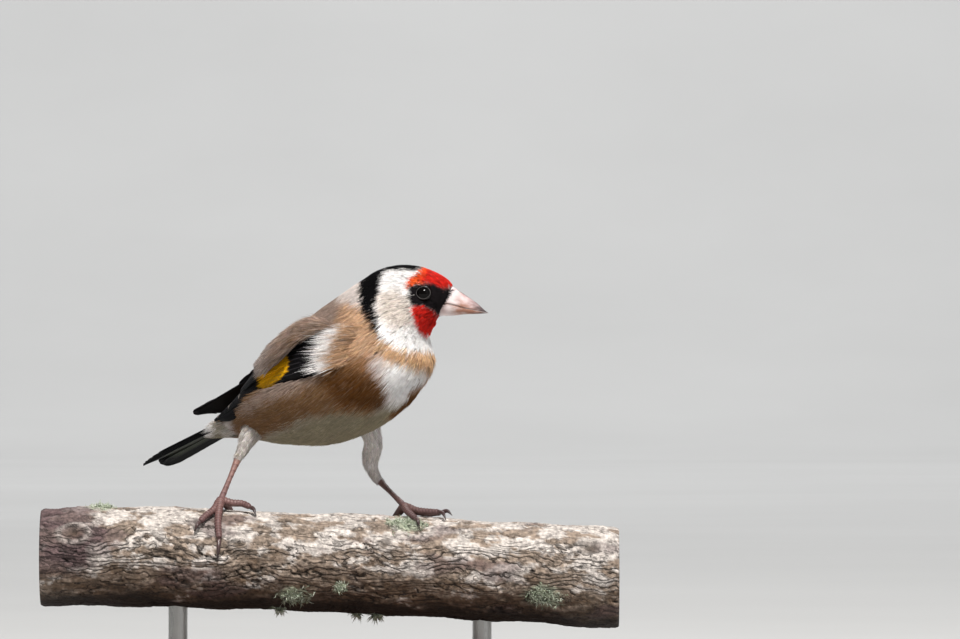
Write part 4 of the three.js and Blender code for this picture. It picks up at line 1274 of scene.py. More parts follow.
def nostrils(points):
    """Middle of each nostril, with its distances from some points."""
    for middle in bill_point(1, NOSTRIL["along"], [NOSTRIL["turn"], math.pi - NOSTRIL["turn"]]):
        yield middle, np.linalg.norm((points - middle) * NOSTRIL["stretch"], axis=-1)


def build_bill(material):
    ivory, rose, tan, dark = (paint(*tone) for tone in (
        (228, 217, 216), (188, 156, 154), (150, 98, 72), (40, 33, 35)))
    rows, over, under = 90, 33, 9
    pieces = []
    for name, half in (("bill_upper_horn", 1), ("bill_lower_horn", -1)):
        t = (-0.1 + 1.098 * np.linspace(0, 1, rows) ** 0.9)[:, None]
        turn = np.linspace(0, math.pi, over)[None, :]
        roof = bill_point(half, t, turn)
        if half > 0:
            for middle, reach in nostrils(roof):
                inward = unit((bill_point(half, t, math.pi / 2) - middle) * (1, 1, 0))
                sunk = NOSTRIL["depth"] * (1 - smooth(0.1, NOSTRIL["reach"], reach))
                roof = roof + inward * sunk[..., None]
        floor = bill_point(half, t, np.linspace(math.pi, 0, under)[1:-1][None, :])
        floor[..., 2] = mouth_z(half, t)
        rings = np.concatenate([roof, floor], axis=1)
        points, faces = closed_tube(rings)
        spots = rings.reshape(-1, 3)
        along = np.repeat(t.ravel(), rings.shape[1])
        high = np.tile(np.concatenate([np.sin(turn.ravel()), np.zeros(under - 2)]), rows)
        cloud = rough_noise(spots * (0.5, 1.0, 1.2), 21, 3)
        colours = wash(ivory, rose, (0.55 + 0.5 * cloud).clip(0, 1) * smooth(0.05, 0.5, along))
        base = (1 - smooth(0.06, 0.24, along)) * smooth(0.95, 0.5, high) * 0.7
        colours = wash(colours, rose * 0.85, base)
        if half < 0:
            warm = smooth(0.14, 0.42, along) * (0.85 + 0.5 * cloud) * (0.7 + 0.35 * (1 - high))
            colours = wash(colours, tan, warm.clip(0, 0.9))
            colours = wash(colours, dark, smooth(0.85, 0.99, high) * smooth(0.4, 0.7, along) * 0.8)
            edge = 0.1 * (1 - high)
        else:
            warm = smooth(0.25, 0.5, along) * smooth(0.75, 0.1, high) * (0.75 + 0.6 * cloud)
            colours = wash(colours, tan, warm.clip(0, 0.8))
            colours = wash(colours, rose * 0.7, smooth(0.42, 0.8, along) * 0.6)
            colours = wash(colours, dark, smooth(0.955, 0.995, high) * smooth(0.28, 0.48, along) * 0.9)
            edge = 0.1 * (high - 0.5)
        colours = wash(colours, dark, smooth(0.58, 0.92, along + 0.08 * cloud - edge) * 0.9)
        # Both halves are darker tan along the mouth's line: the bill's own tan there, deepened as painted
        # shade in the crease between the halves
        colours = wash(colours, tan * 0.6, (1 - smooth(0.0, 0.14, high)) * 0.75)
        # The nostrils' hollows are painted dark, as painted shade in them
        if half > 0:
            pits = np.min([reach for _, reach in nostrils(spots)], axis=0)
            colours = wash(colours, dark * 0.5, 1 - smooth(0.2, 0.5, pits))
        colours = np.vstack([colours, colours[:1], dark[None]])
        pieces.append(make_mesh(name, points, faces, material, colours))
    return pieces


def build_eyes(ball_material, lid_skin):
    """Eyeballs, a little flattened at the front, in the beaded rings of their lids."""
    balls, lids = {}, []
    for name, side in (("left", 1), ("right", -1)):
        surface, out, centre = eye_frame(side)
        turn = Vector(out).to_track_quat("Z", "Y")
        bpy.ops.object.select_all(action="DESELECT")
        bpy.ops.mesh.primitive_uv_sphere_add(segments=64, ring_count=40, radius=EYE["radius"] * MM)
        ball = bpy.context.object
        mesh = ball.data
        ball.name = mesh.name = f"eyeball_{name}"
        spots = mesh_points(mesh)
        wide = np.linalg.norm(spots[:, :2], axis=1) / (EYE["radius"] * MM)
        front = spots[:, 2] > 0
        spots[:, 2] *= np.where(front, EYE["flatness"], 1)
        spots[:, 2] += EYE["bulge"] * MM * np.where(front, np.clip(1 - wide ** 2, 0, 1) ** 2, 0)
        mesh.vertices.foreach_set("co", spots.ravel())
        ball.rotation_euler = turn.to_euler()
        ball.location = Vector(centre + out * (1 - EYE["flatness"]) * EYE["sunk"]) * MM
        bpy.ops.object.transform_apply(location=True, rotation=True, scale=True)
        bpy.ops.object.shade_smooth()
        mesh.materials.append(ball_material)
        balls[name] = ball
        lids.append(build_lid(f"lid_{name}", surface + out * LID["lift"], turn, lid_skin))
    return balls, lids


def build_lid(name, middle, turn, material):
    """Ring of the two lids round an eye, beaded along its edge and drawn out at its corners."""
    count, sides, beads = 144, 14, 26
    around, section = full_turn(count)[:, None], full_turn(sides)[None, :]
    bead = 1 + 0.16 * np.cos(around * beads)
    tube = LID["tube"] * bead
    corner = 0.14 * np.abs(np.cos(around)) ** 6
    radius = LID["radius"] + corner + tube * np.cos(section) * 0.9
    rise = 0.9 * tube * np.sin(section)
    flat = np.stack([radius * np.cos(around), radius * np.sin(around) * 0.97, rise], -1)
    turned = flat @ np.array(turn.to_matrix()).T + middle
    faces = grid_faces(count, sides, rows_meet=True, columns_meet=True)[:, [0, 3, 2, 1]]
    colours = wash(paint(14, 12, 13), paint(66, 60, 58), smooth(0.9, 1.16, bead) + 0 * section)
    return make_mesh(name, turned, faces, material, colours)


# Flight feathers

# Rows of points along a feather, and the places of its points across it
VANE_ROWS = 30
VANE_ACROSS = np.array([-1, -0.86, -0.62, -0.36, -0.14, -0.04, 0.04, 0.14, 0.36, 0.62, 0.86, 1])


def vane_outline(t, blunt):
    """Half width of a feather along its length, as a share of its widest. blunt is where along it
    the tip starts to round off."""
    base = 0.5 + 0.5 * smooth(0, 0.3, t)
    rounding = np.clip((t - blunt) / (1 - blunt), 0, 1)
    return base * np.sqrt(np.clip(1 - rounding ** 2.4, 0.0004, 1))


def add_vane(heap, place, root, tip, width, lift, colour_at, cell, hand, blunt, bow, inner_share=0.55,
             limit=None):
    """Feather with its shaft from root to tip on a sheet. place maps along, across and height,
    lift gives the feather's height there, and colour_at its colours. cell is the corner and size of
    its patch in the map OFBake, bow how far its middle bends aside, and limit keeps it inside the
    sheet. The inner web, of the share inner_share, is on the positive side across, and hand is 1
    where that set is right-handed."""
    rows, columns = VANE_ROWS, len(VANE_ACROSS)
    t = (1 - (1 - np.linspace(0, 1, rows)) ** 1.5)[:, None]
    s = VANE_ACROSS[None, :]
    root, tip = np.array(root, float), np.array(tip, float)
    way = tip - root
    length = np.linalg.norm(way)
    half = width * vane_outline(t, blunt) * np.where(s > 0, inner_share, 1 - inner_share)
    ragged = 1 - 0.05 * (np.abs(s) > 0.8) * rng.uniform(0, 1, (rows, 1)) * smooth(0.3, 0.8, t)
    aside = s * half * ragged + bow * length * t * (1 - t)
    a = root[0] + way[0] * t - aside * way[1] / length
    b = root[1] + way[1] * t + aside * way[0] / length
    if limit is not None:
        b = limit(a, b)
    ridge = 0.09 * (np.abs(s) < 0.05) * (1 - 0.7 * t)
    droop = 0.18 * np.abs(s) ** 2.2
    height = lift(a, b) + ridge - droop
    points = [place(a, b, height).reshape(-1, 3), place(a, b, height - 0.12).reshape(-1, 3)]
    count = rows * columns

    def rim(first, second):
        return np.stack([first, second, second + count, first + count], -1)

    over = grid_faces(rows, columns)
    k, m, last = np.arange(rows - 1) * columns, np.arange(columns - 1), (rows - 1) * columns
    rims = [rim(k, k + columns), rim(k + columns - 1, k + 2 * columns - 1)[:, ::-1],
            rim(last + m, last + m + 1), rim(m, m + 1)[:, ::-1]]
    quads = np.vstack([over, over[:, ::-1] + count] + rims)
    faces = np.vstack([quads[:, [0, 1, 2]], quads[:, [0, 2, 3]]])
    if hand > 0:
        faces = faces[:, ::-1]
    t, s = np.broadcast_to(t, a.shape), np.broadcast_to(s, a.shape)
    colours = colour_at(t.ravel(), s.ravel(), a.ravel(), b.ravel())
    uv = cell[0] + np.stack([t, s * 0.5 + 0.5], -1).reshape(-1, 2) * cell[1]
    barbs = np.stack([s, t * length], -1).reshape(-1, 2)
    heap.add(np.vstack(points), faces, *(np.vstack([part, part]) for part in (colours, uv, barbs)))


def map_cell(number, columns):
    """Corner and size of a feather's cell in the map OFBake, inside a margin, by its number."""
    margin = 0.01
    return np.array([number % columns, number // columns]) / columns + margin, 1 / columns - 2 * margin


def place_hand(place):
    """1 where along, across and height make a right-handed set on a sheet, and -1 where not."""
    at = place(5.0, 0.0, 0.0)
    a, b, h = place(6.0, 0.0, 0.0) - at, place(5.0, 1.0, 0.0) - at, place(5.0, 0.0, 1.0) - at
    return 1.0 if np.cross(a, b) @ h > 0 else -1.0


# Groups of a wing's feathers: name, number, and for the first and the last feather the roots and
# the tips as shares along and across the wing, then width, layer, and where the tips round off
WING_TIERS = [
    ("primary", 8, ((0.26, 0.24), (0.24, 0.5)), ((1.0, 0.5), (0.74, 0.62)), 6.0, 0.0, 0.86),
    ("secondary", 7, ((0.2, 0.3), (0.16, 0.7)), ((0.76, 0.46), (0.7, 0.86)), 5.8, 3.8, 0.86),
    ("tertial", 3, ((0.15, 0.62), (0.13, 0.84)), ((0.76, 0.8), (0.56, 0.9)), 6.6, 9.2, 0.78),
    ("primary_covert", 4, ((0.12, 0.08), (0.12, 0.22)), ((0.5, 0.12), (0.38, 0.28)), 3.6, 6.4, 0.7),
    ("greater_covert", 10, ((0.07, 0.1), (0.07, 0.92)), ((0.34, 0.14), (0.28, 0.9)), 3.8, 9.0, 0.7),
    ("median_covert", 9, ((0.03, 0.12), (0.03, 0.9)), ((0.2, 0.14), (0.17, 0.88)), 3.4, 12.0, 0.62),
    ("small_covert", 9, ((0.0, 0.12), (0.0, 0.9)), ((0.11, 0.16), (0.1, 0.88)), 3.0, 14.0, 0.55),
]

# Outline of the yellow bar in the photograph's pixels, with the part that the shoulder covers
YELLOW_BAR = [(288, 359), (286, 370), (280, 375.5), (271.7, 381), (266.7, 386), (259, 389.5), (254, 384),
              (260, 370), (272, 354), (283, 349)]


def wing_colour(kind, order, sheet):
    """Colours of one wing feather: black, with the yellow bar and pale tips, alike on both wings but for a
    painted grey sheen on the left one.
    """
    right = sheets["right"]

    def colour_at(t, s, a, b):
        # The left wing is painted greyer than black, as a painted sheen
        colours = np.tile(BLACK if sheet.side < 0 else mix(BLACK, SLATE, 0.3), (len(t), 1))
        seen = photo_pixels(right.place(*right.spot(*sheet.shares(a, b)), 1.0))
        seen[:, 0] += 1.2 * np.sin(s * 9)
        colours = wash(colours, YELLOW, smooth(-1.0, 1.0, inside(YELLOW_BAR, seen)))
        if kind in ("primary", "secondary") and order % 3 == 1:
            colours = wash(colours, CREAM, smooth(0.975, 0.99, t) * 0.6)
        colours = wash(colours, SLATE, (np.abs(s) < 0.05) * 0.3)
        return vary(colours, 0.05)

    return colour_at


def front_dip(t):
    """How far a wing's front edge dips into the breast's side, at shares t along the wing."""
    return 2.4 * (1 - smooth(0.0, 0.13, t))


def build_wing(name, material):
    """Folded wing: a closed black plate under its feathers, and the feathers in their tiers."""
    sheet = sheets[name]
    heap = Heap()
    hand = place_hand(sheet.place)
    number, columns = 0, 8

    def limit(a, b):
        low, high = sheet.edges(a / sheet.length)
        return np.clip(b, low - 0.2, high + 0.5)

    t, share = pairs(np.linspace(0.03, 0.985, 60), np.linspace(0.03, 0.97, 14))
    sink = 2.2 * (1 - smooth(-0.1, 0.15, share)) * (1 - smooth(0.8, 0.95, t)) + front_dip(t)
    a, b = sheet.spot(t, share)
    upper, lower = (sheet.place(a, b, through(WING_INNER, t) + thick - sink) for thick in (0.4, 0.0))
    points, faces = closed_tube(np.concatenate([upper, lower[:, ::-1]], axis=1))
    heap.add(points, faces if hand < 0 else faces[:, ::-1], BLACK, None, np.zeros((len(points), 2)))

    for kind, count, roots, tips, width, layer, blunt in WING_TIERS:
        for i in range(count):
            root, tip = (sheet.spot(*mix(*np.array(ends), i / (count - 1))) for ends in (roots, tips))

            def lift(a, b):
                t, share = sheet.shares(a, b)
                t = np.clip(t, 0, 1)
                order = layer + i * 0.62
                floor, top = through(WING_INNER, t), through(WING_OUTER, t)
                flank = through(FLANK_COVER, t)
                sink = 2.4 * (1 - smooth(flank - 0.1, flank + 0.08, share)) * (1 - smooth(0.8, 0.95, t))
                rise = np.minimum(floor + 0.4 + order * 0.22 * mix(1, 0.75, t), top - 0.02 * (20 - order))
                return rise - sink - front_dip(t)

            add_vane(heap, sheet.place, root, tip, width, lift, wing_colour(kind, i, sheet),
                     map_cell(number, columns), hand, blunt, bow=-0.03, limit=limit)
            number += 1
    return heap.mesh(f"wing_feathers_{name}", material)


# How far the tips of the tail's pairs of feathers stop short of its end, from the middle pair out
TAIL_FORK = [4.2, 2.4, 1.2, 0.5, 0.2, 0.6]


def tail_colour(pair):
    """Colours of one tail feather: black, with a pale tip or, on the outer pairs, a white window painted
    dim olive grey, as painted shade.
    """

    def colour_at(t, s, a, b):
        colours = np.tile(BLACK, (len(t), 1))
        if pair >= 3:
            # The outer pairs' white windows are painted dim olive grey, as painted shade
            window = smooth(0.42, 0.56, t) * (1 - smooth(0.8, 0.9, t)) * smooth(0.1, 0.4, s)
            colours = wash(colours, paint(64, 68, 56), window)
        else:
            colours = wash(colours, CREAM, smooth(0.965, 0.99, t) * 0.5)
        return vary(colours, 0.05)

    return colour_at


def build_tail(material):
    heap = Heap()
    hand = place_hand(tail_place)
    number, columns = 0, 4
    for pair, fork in enumerate(TAIL_FORK):
        f = pair / (len(TAIL_FORK) - 1)
        for side in (1, -1):
            root, tip = (0.0, -mix(0.5, 1.6, f)), (TAIL_LENGTH - fork, -mix(1.3, 4.6, f))
            height = 1.2 - pair * 0.3 - (0.15 if side > 0 else 0)
            add_vane(heap, lambda a, b, h: tail_place(a, -side * b, h), root, tip, 5.4,
                     lambda a, b: height - 0.03 * b ** 2, tail_colour(pair), map_cell(number, columns),
                     -hand * side, 0.84, bow=-0.02, inner_share=0.64)
            number += 1
    return heap.mesh("tail_feathers", material)


# Legs and feet

def to_front(curve):
    """The torso's forward direction, at each point of a curve."""
    return np.broadcast_to(forward_at(MIDDLE_X), curve.shape)


def limb_rings(points, radii, count, sides, front=None, shape=None):
    """Rings of a round limb through points, its angles measured from the way that front points.
    shape gives a factor for its radius from the distance along it and the angle round it."""
    curve, length = chord_curve(points, count)
    tangent = unit(np.gradient(curve, axis=0))
    front = np.cross(tangent, left_at(MIDDLE_X)) if front is None else front(curve)
    front = square_to(front, tangent)
    flank = np.cross(tangent, front)
    t = np.linspace(0, 1, count)[:, None]
    angle = full_turn(sides)[None, :]
    radius = through(radii, t)
    for near_end, end_radius in ((t * length, radii[0]), ((1 - t) * length, max(radii[-1], 0.05))):
        radius = radius * np.sqrt(np.clip(1 - (1 - np.minimum(near_end / end_radius, 1)) ** 2, 0.02, 1))
    if shape is not None:
        radius = radius * shape(t * length, angle)
    return (curve[:, None, :] + (radius * np.cos(angle))[..., None] * front[:, None, :]
            + (radius * np.sin(angle))[..., None] * flank[:, None, :])


def scute_phase(pitch, far, angle):
    """Places in the wide plates of the front and in the small ones of the back, from 0 to 1 down
    the limb in each, and how far the angle lies on the front."""
    front = smooth(-0.35, 0.1, np.cos(angle))
    wide = (far / pitch + 0.12 * np.cos(angle) + 100) % 1.0
    small = (far / (pitch * 0.5) + 1.3 * angle + 100) % 1.0
    return wide, small, front


def scutes(pitch, rise):
    """Shape of a limb with plates, each raised towards its lower edge."""

    def shape(far, angle):
        wide, small, front = scute_phase(pitch, far, angle)
        plate = wide ** 0.6 * smooth(1.0, 0.86, wide)
        bead = np.sin(math.pi * small)
        pads = 0.06 * np.cos(far / 2.2 * 2 * math.pi)
        return 1 + rise * (front * (plate - 0.4) + (1 - front) * (0.5 * (bead - 0.6) + pads))

    return shape


def add_limb(heap, points, radii, count, sides, start_tone, end_tone, front=None, pitch=0.0, rise=0.0):
    """Limb of count rings, from one colour to another, with plates of a pitch if it has one."""
    rings = limb_rings(points, radii, count, sides, front, scutes(pitch, rise) if pitch else None)
    limb_points, faces = closed_tube(rings)
    share = np.repeat(np.linspace(0, 1, count), sides)
    colours = wash(start_tone, end_tone, share)
    if pitch:
        length = chord_curve(points)[1]
        wide, small, on_front = scute_phase(pitch, share * length, np.tile(full_turn(sides), count))
        # The grooves between the plates are painted darker, as painted shade, and the middles of the front
        # plates lighter, as a painted sheen
        groove_shade = np.maximum(smooth(0.2, 0.0, wide), smooth(0.9, 1.0, wide)) * on_front
        groove_shade = groove_shade + (1 - on_front) * 0.5 * smooth(0.3, 0.0, np.sin(math.pi * small))
        colours = wash(colours, colours * np.array([0.6, 0.52, 0.54]), groove_shade)
        shine = on_front * smooth(0.3, 0.7, wide) * smooth(0.95, 0.8, wide) * 0.5
        colours = wash(colours, colours * 1.35, shine)
    colours = np.vstack([colours, colours[:1], colours[-1:]])
    heap.add(limb_points, faces, vary(colours, 0.04))


def off_branch(curve):
    """Directions away from the perch's middle, at points of a curve."""
    middle = np.stack([curve[:, 0], np.zeros(len(curve)), perch_axis_z(curve[:, 0])], -1)
    return unit(curve - middle)


# Colours of the legs' skin, the left one painted darker as painted shade, and of their claws from the root
# to the tip
LEG_TONES_AND_SHADE = {"right": paint(132, 98, 88), "left": paint(108, 78, 70)}
CLAW_ROOT, CLAW_TIP = paint(88, 66, 64), paint(30, 22, 24)


def build_legs(material, claw_material):
    """Shin, toes and claws of each leg, each with the solids that it takes the place of."""
    pieces = []
    for name, leg in LEGS.items():
        ball, heel = on_bark(*leg["ball"]), np.array(leg["heel"], float)
        skin_tone = LEG_TONES_AND_SHADE[name]
        dusk = skin_tone * np.array([0.62, 0.6, 0.72])
        shin, foot, claws = Heap(), Heap(), Heap()
        above = heel + unit(heel - ball) * 1.6
        radii = [TARSUS_RADIUS * 1.15, TARSUS_RADIUS * 0.74, TARSUS_RADIUS * 0.95]
        add_limb(shin, [above, mix(heel, ball, 0.5), ball], radii, 170, 30, skin_tone, dusk, to_front,
                 pitch=1.9, rise=0.13)
        pad = [ball + (0, 0, 1.1), ball + (0.01, 0, -0.6)]
        add_limb(foot, pad, [BALL_RADIUS * 0.85, BALL_RADIUS], 40, 28, dusk, dusk, to_front,
                 pitch=0.9, rise=0.12)
        for spots in TOES[name].values():
            path = [ball] + [on_bark(*spot) for spot in spots[:3]]
            add_limb(foot, path, TOE_RADIUS, 130, 24, mix(skin_tone, dusk, 0.7), dusk * 0.8, off_branch,
                     pitch=0.85, rise=0.26)
            start = path[-1] + unit(path[-1] - path[-2]) * (TOE_RADIUS[-1] * 0.1)
            tip = on_bark(*spots[3])
            bend = mix(start, tip, 0.5) + off_branch(path[-1][None])[0] * 0.85
            add_limb(claws, [start, bend, tip], [CLAW_RADIUS, CLAW_RADIUS * 0.74, 0.05], 44, 18,
                     CLAW_ROOT, CLAW_TIP)
        pieces.append((shin.mesh(f"shin_{name}", material), [f"tarsus_{name}"]))
        pieces.append((foot.mesh(f"toes_{name}", material), [f"foot_{name}"]))
        claw_nodes = [f"claw_{name}_{toe}" for toe in TOES[name]]
        pieces.append((claws.mesh(f"claws_{name}", claw_material), claw_nodes))
    return pieces


# How far at most each of the thighs' feathers is mixed at random with the belly's shaded grey, the right
# thigh's more as painted shade, and the distance between their rings
THIGH_GREY_AND_SHADE = {"right": 0.8, "left": 0.25}
THIGH_STEP = 0.42


def build_thigh_coat(name, leg, material):
    """Short feathers down a thigh, to just past the heel."""
    heap = Heap()
    points = leg["thigh"] + [tuple(mix(np.array(leg["thigh"][-1]), np.array(leg["heel"]), 1.5))]
    radii = [r - 0.35 for r in leg["thigh_radius"]] + [TARSUS_RADIUS * 0.95]
    count, sides = 90, 64
    rings = limb_rings(points, radii, count, sides)
    middles = rings.mean(1)
    length = chord_curve(points)[1]
    far = 0.0
    while far < length - 0.9:
        at = far / length
        i = int(at * (count - 1))
        picks = np.unique(rng.integers(0, sides, int(mix(34, 18, at))))
        number = len(picks)
        root = rings[i, picks]
        out = unit(root - middles[i])
        down = unit(middles[min(i + 3, count - 1)] - middles[max(i - 3, 0)])
        lie = unit(down - (out @ down)[:, None] * out * 0.6 + rng.normal(0, 0.05, (number, 3)))
        size = mix(2.9, 1.5, at) * rng.uniform(0.8, 1.2, number)
        # Feathers greyed at random with the belly's painted shade, those of the right thigh more, as
        # painted shade
        grey = rng.uniform(0, THIGH_GREY_AND_SHADE[name], (number, 1))
        tone = mix(mix(WHITE, LILAC, 0.5), BELLY_SHADED_GREY, grey) * mix(1.0, 0.86, at)
        add_tufts(heap, root, lie, out, size, mix(0.5, 0.25, at), tone,
                  in_map(np.full(number, at), picks / sides), strands=7, spread=0.16, streak=2.5)
        far += THIGH_STEP
    return heap.mesh(f"thigh_coat_{name}", material)


# Feathers of the shoulders

def shoulder_point(sheet, f, s, lift):
    """Point on the feathers of the shoulder, which cover the wing's upper part: f along them, and s
    from their low edge to the back."""
    f, s, lift = floats(f, s, lift)
    t = mix(SHOULDER["from"], SHOULDER["to"], f)
    seam = sheet.edges(t)[1] + 0.7
    low = through(SHOULDER["low_edge"], f)
    back = seam + 0.2 + SHOULDER["overlap"] * np.cos(math.pi / 2 * f)
    half, middle = (back - low) / 2, (back + low) / 2
    half = half * np.sqrt(np.clip(1 - np.clip((f - 0.86) / 0.14, 0, 1) ** 2, 0.05, 1))
    b = middle + half * (2 * s - 1)
    floor = through(WING_OUTER, t) + 0.25
    thick = through(SHOULDER["thick"], f)
    over = thick * np.clip(np.sin(np.clip(s * 1.1 + 0.1, 0, 1) * math.pi), 0, 1) ** 0.6
    drop = np.maximum(b - seam, 0) * 0.3 + 4.6 * (1 - smooth(0.0, 0.34, f))
    return sheet.place(t * sheet.length, b, floor + over * 0.9 - drop + lift)


def shoulder_shape(sheet):
    """Closed plate under the shoulder's feathers, as points and triangles."""
    f, s = pairs(np.linspace(0, 1, 48), np.linspace(0, 1, 18))
    top, bottom = shoulder_point(sheet, f, s, -0.35), shoulder_point(sheet, f, s, -1.25)
    points, faces = closed_tube(np.concatenate([top, bottom[:, ::-1]], axis=1))
    return points, faces if sheet.side > 0 else faces[:, ::-1]


def build_shoulder_coat(name, material):
    sheet = sheets[name]
    heap = Heap()
    steps = int(sheet.length * (SHOULDER["to"] - SHOULDER["from"]) / 0.6)
    count, depth = 21, -0.3
    for i in range(steps):
        across = np.clip((np.arange(count) + rng.uniform(-0.4, 0.4, count) + 0.5) / count, 0, 1)
        along = np.clip((i + 0.5 + rng.uniform(-0.5, 0.5, count)) / steps, 0, 0.97)
        root = shoulder_point(sheet, along, across, depth)
        ahead = unit(shoulder_point(sheet, along + 0.02, across, depth) - root)
        beside = unit(shoulder_point(sheet, along, across + 0.01, depth) - root)
        out = unit(np.cross(ahead, beside))
        under = shoulder_point(sheet, along, across, depth - 1)
        out = out * np.sign((out * (root - under)).sum(-1, keepdims=True))
        size = rng.uniform(3.6, 5.6, count) * (1 - 0.3 * smooth(0.75, 1, along))
        tone = mix(MANTLE, FLANK, rng.uniform(0, 0.8, (count, 1)) * (1 - across[:, None]))
        tone = wash(tone, LILAC * 0.8, smooth(0.55, 1.0, along) * 0.6)
        tone = tone * rng.uniform(0.85, 1.2, (count, 1)) * mix(0.7, 1.0, smooth(0.0, 0.4, across))[:, None]
        fringe = 0.3 * (1 - smooth(0.0, 0.3, across)) * rng.uniform(0, 1, count)
        drift = rng.normal(0, 0.08, count) - fringe
        streak_across = across * SHOULDER["wide"] + drift * size * 0.7
        tone = streaks(tone, streak_across, along * SHOULDER["long"], 0.7, 91)
        ahead = unit(ahead + beside * drift[:, None] + out * rng.uniform(0, 0.12, (count, 1)))
        add_tufts(heap, root, ahead, out, size, 0.7, tone, in_map(along, across), strands=8, streak=1.8)
    return heap.mesh(f"shoulder_coat_{name}", material)


# Perch and stand

# Number of the bark's lengthwise lines round the perch
BARK_LINES = 56

# Eye-shaped knots of the bark: place along the perch, angle round it, and half length
KNOTS = [(-67, 62, 4.2), (-23.7, 70, 2.6), (14.5, 64, 2.8), (68, 55, 4.0), (-46, 205, 3.2), (6, 158, 2.6),
         (31, 262, 3.0), (-58, 300, 2.8), (46, 120, 2.4), (-8, 335, 2.2), (36, 20, 2.0), (-38, 118, 2.2)]

# Patches of lichen: place along the perch, angle round it, and half length. The small ones hang.
LICHENS = [(-9, 132, 4.5), (3, 118, 2.0), (56, 116, 5.0), (20, 30, 5.0), (-60, 12, 4.0), (44, 250, 5.0),
           (-30, 230, 4.0)]
SMALL_LICHENS = [(7, 172, 1.2), (12.5, 170, 1.6), (-13, 160, 1.0)]


def plain_round(x, degrees):
    """Places on a straight round perch, which the bark's patterns are measured by."""
    turn = np.radians(degrees)
    return np.stack([x, PERCH["radius"] * np.sin(turn), PERCH["radius"] * np.cos(turn)], -1)


def bark_marks(x, degrees, spots, stretch):
    """Distance of places on the bark from the nearest of some spots, 1 at a spot's own edge."""
    nearest = np.full(np.broadcast(x, degrees).shape, 9.0)
    for spot_x, spot_angle, reach in spots:
        around = ((degrees - spot_angle + 180) % 360 - 180) * math.pi / 180 * PERCH["radius"]
        nearest = np.minimum(nearest, np.hypot((x - spot_x) / reach, around / (reach * stretch)))
    return nearest


def bark_relief(x, degrees):
    """Height of the bark's flakes, hollows and knots over its plain round, with the masks of its
    hollows, its pale flakes, its lichen and its knots, and a fine unevenness."""
    spot = plain_round(x, degrees)
    warp = np.stack([rough_noise(spot * (0.09, 0.16, 0.16), seed, 3) for seed in (31, 41, 51)], -1)
    knot = bark_marks(x, degrees, KNOTS, 0.62)
    bent = spot + warp * (2.5, 1.2, 1.2) + (np.exp(-knot ** 2 * 0.6) * 1.6)[..., None]
    below = smooth(0.35, -0.5, np.cos(np.radians(degrees)))
    crease = smooth(0.1, 0.0, np.abs(rough_noise(bent * (0.06, 0.25, 0.25), 61, 3)))
    crease = crease * smooth(0.0, 0.4, rough_noise(spot * (0.1, 0.2, 0.2), 23, 2))
    plates = rough_noise(bent * (0.13, 0.34, 0.34), 81, 4)
    steps = plates * 2.2
    flake = (np.floor(steps) + smooth(0.0, 0.35, steps - np.floor(steps))) / 2.2
    grit = rough_noise(spot * (0.5, 0.9, 0.9), 91, 3)
    rings = np.sin(knot * 8.0) * np.exp(-knot ** 2 * 0.9)
    hollow = -1.0 * np.exp(-(knot / 0.4) ** 2)
    height = 0.3 * flake * (1 - 0.4 * below) - 0.9 * crease + 0.12 * grit
    height = height + 0.25 * rings + hollow + 0.35 * np.exp(-((knot - 0.9) / 0.35) ** 2)
    lichen = smooth(1.15, 0.6, bark_marks(x, degrees, LICHENS, 0.7) + 0.35 * grit + 0.2 * plates)
    height = height + lichen * (0.25 + 0.4 * np.maximum(grit, 0))
    return height, crease, flake, lichen, knot, grit


# Colours of the bark, of its stains and lichen, of the painted shade in its creases, and of the cut wood
BARK_PALE, BARK_SAND, BARK_BROWN = paint(200, 191, 184), paint(146, 130, 116), paint(98, 80, 64)
BARK_CREASE_SHADE, BARK_PLUM, BARK_MOSS = paint(24, 19, 16), paint(96, 78, 78), paint(170, 178, 156)
CUT_WOOD, CUT_HEART = paint(206, 172, 128), paint(160, 118, 78)


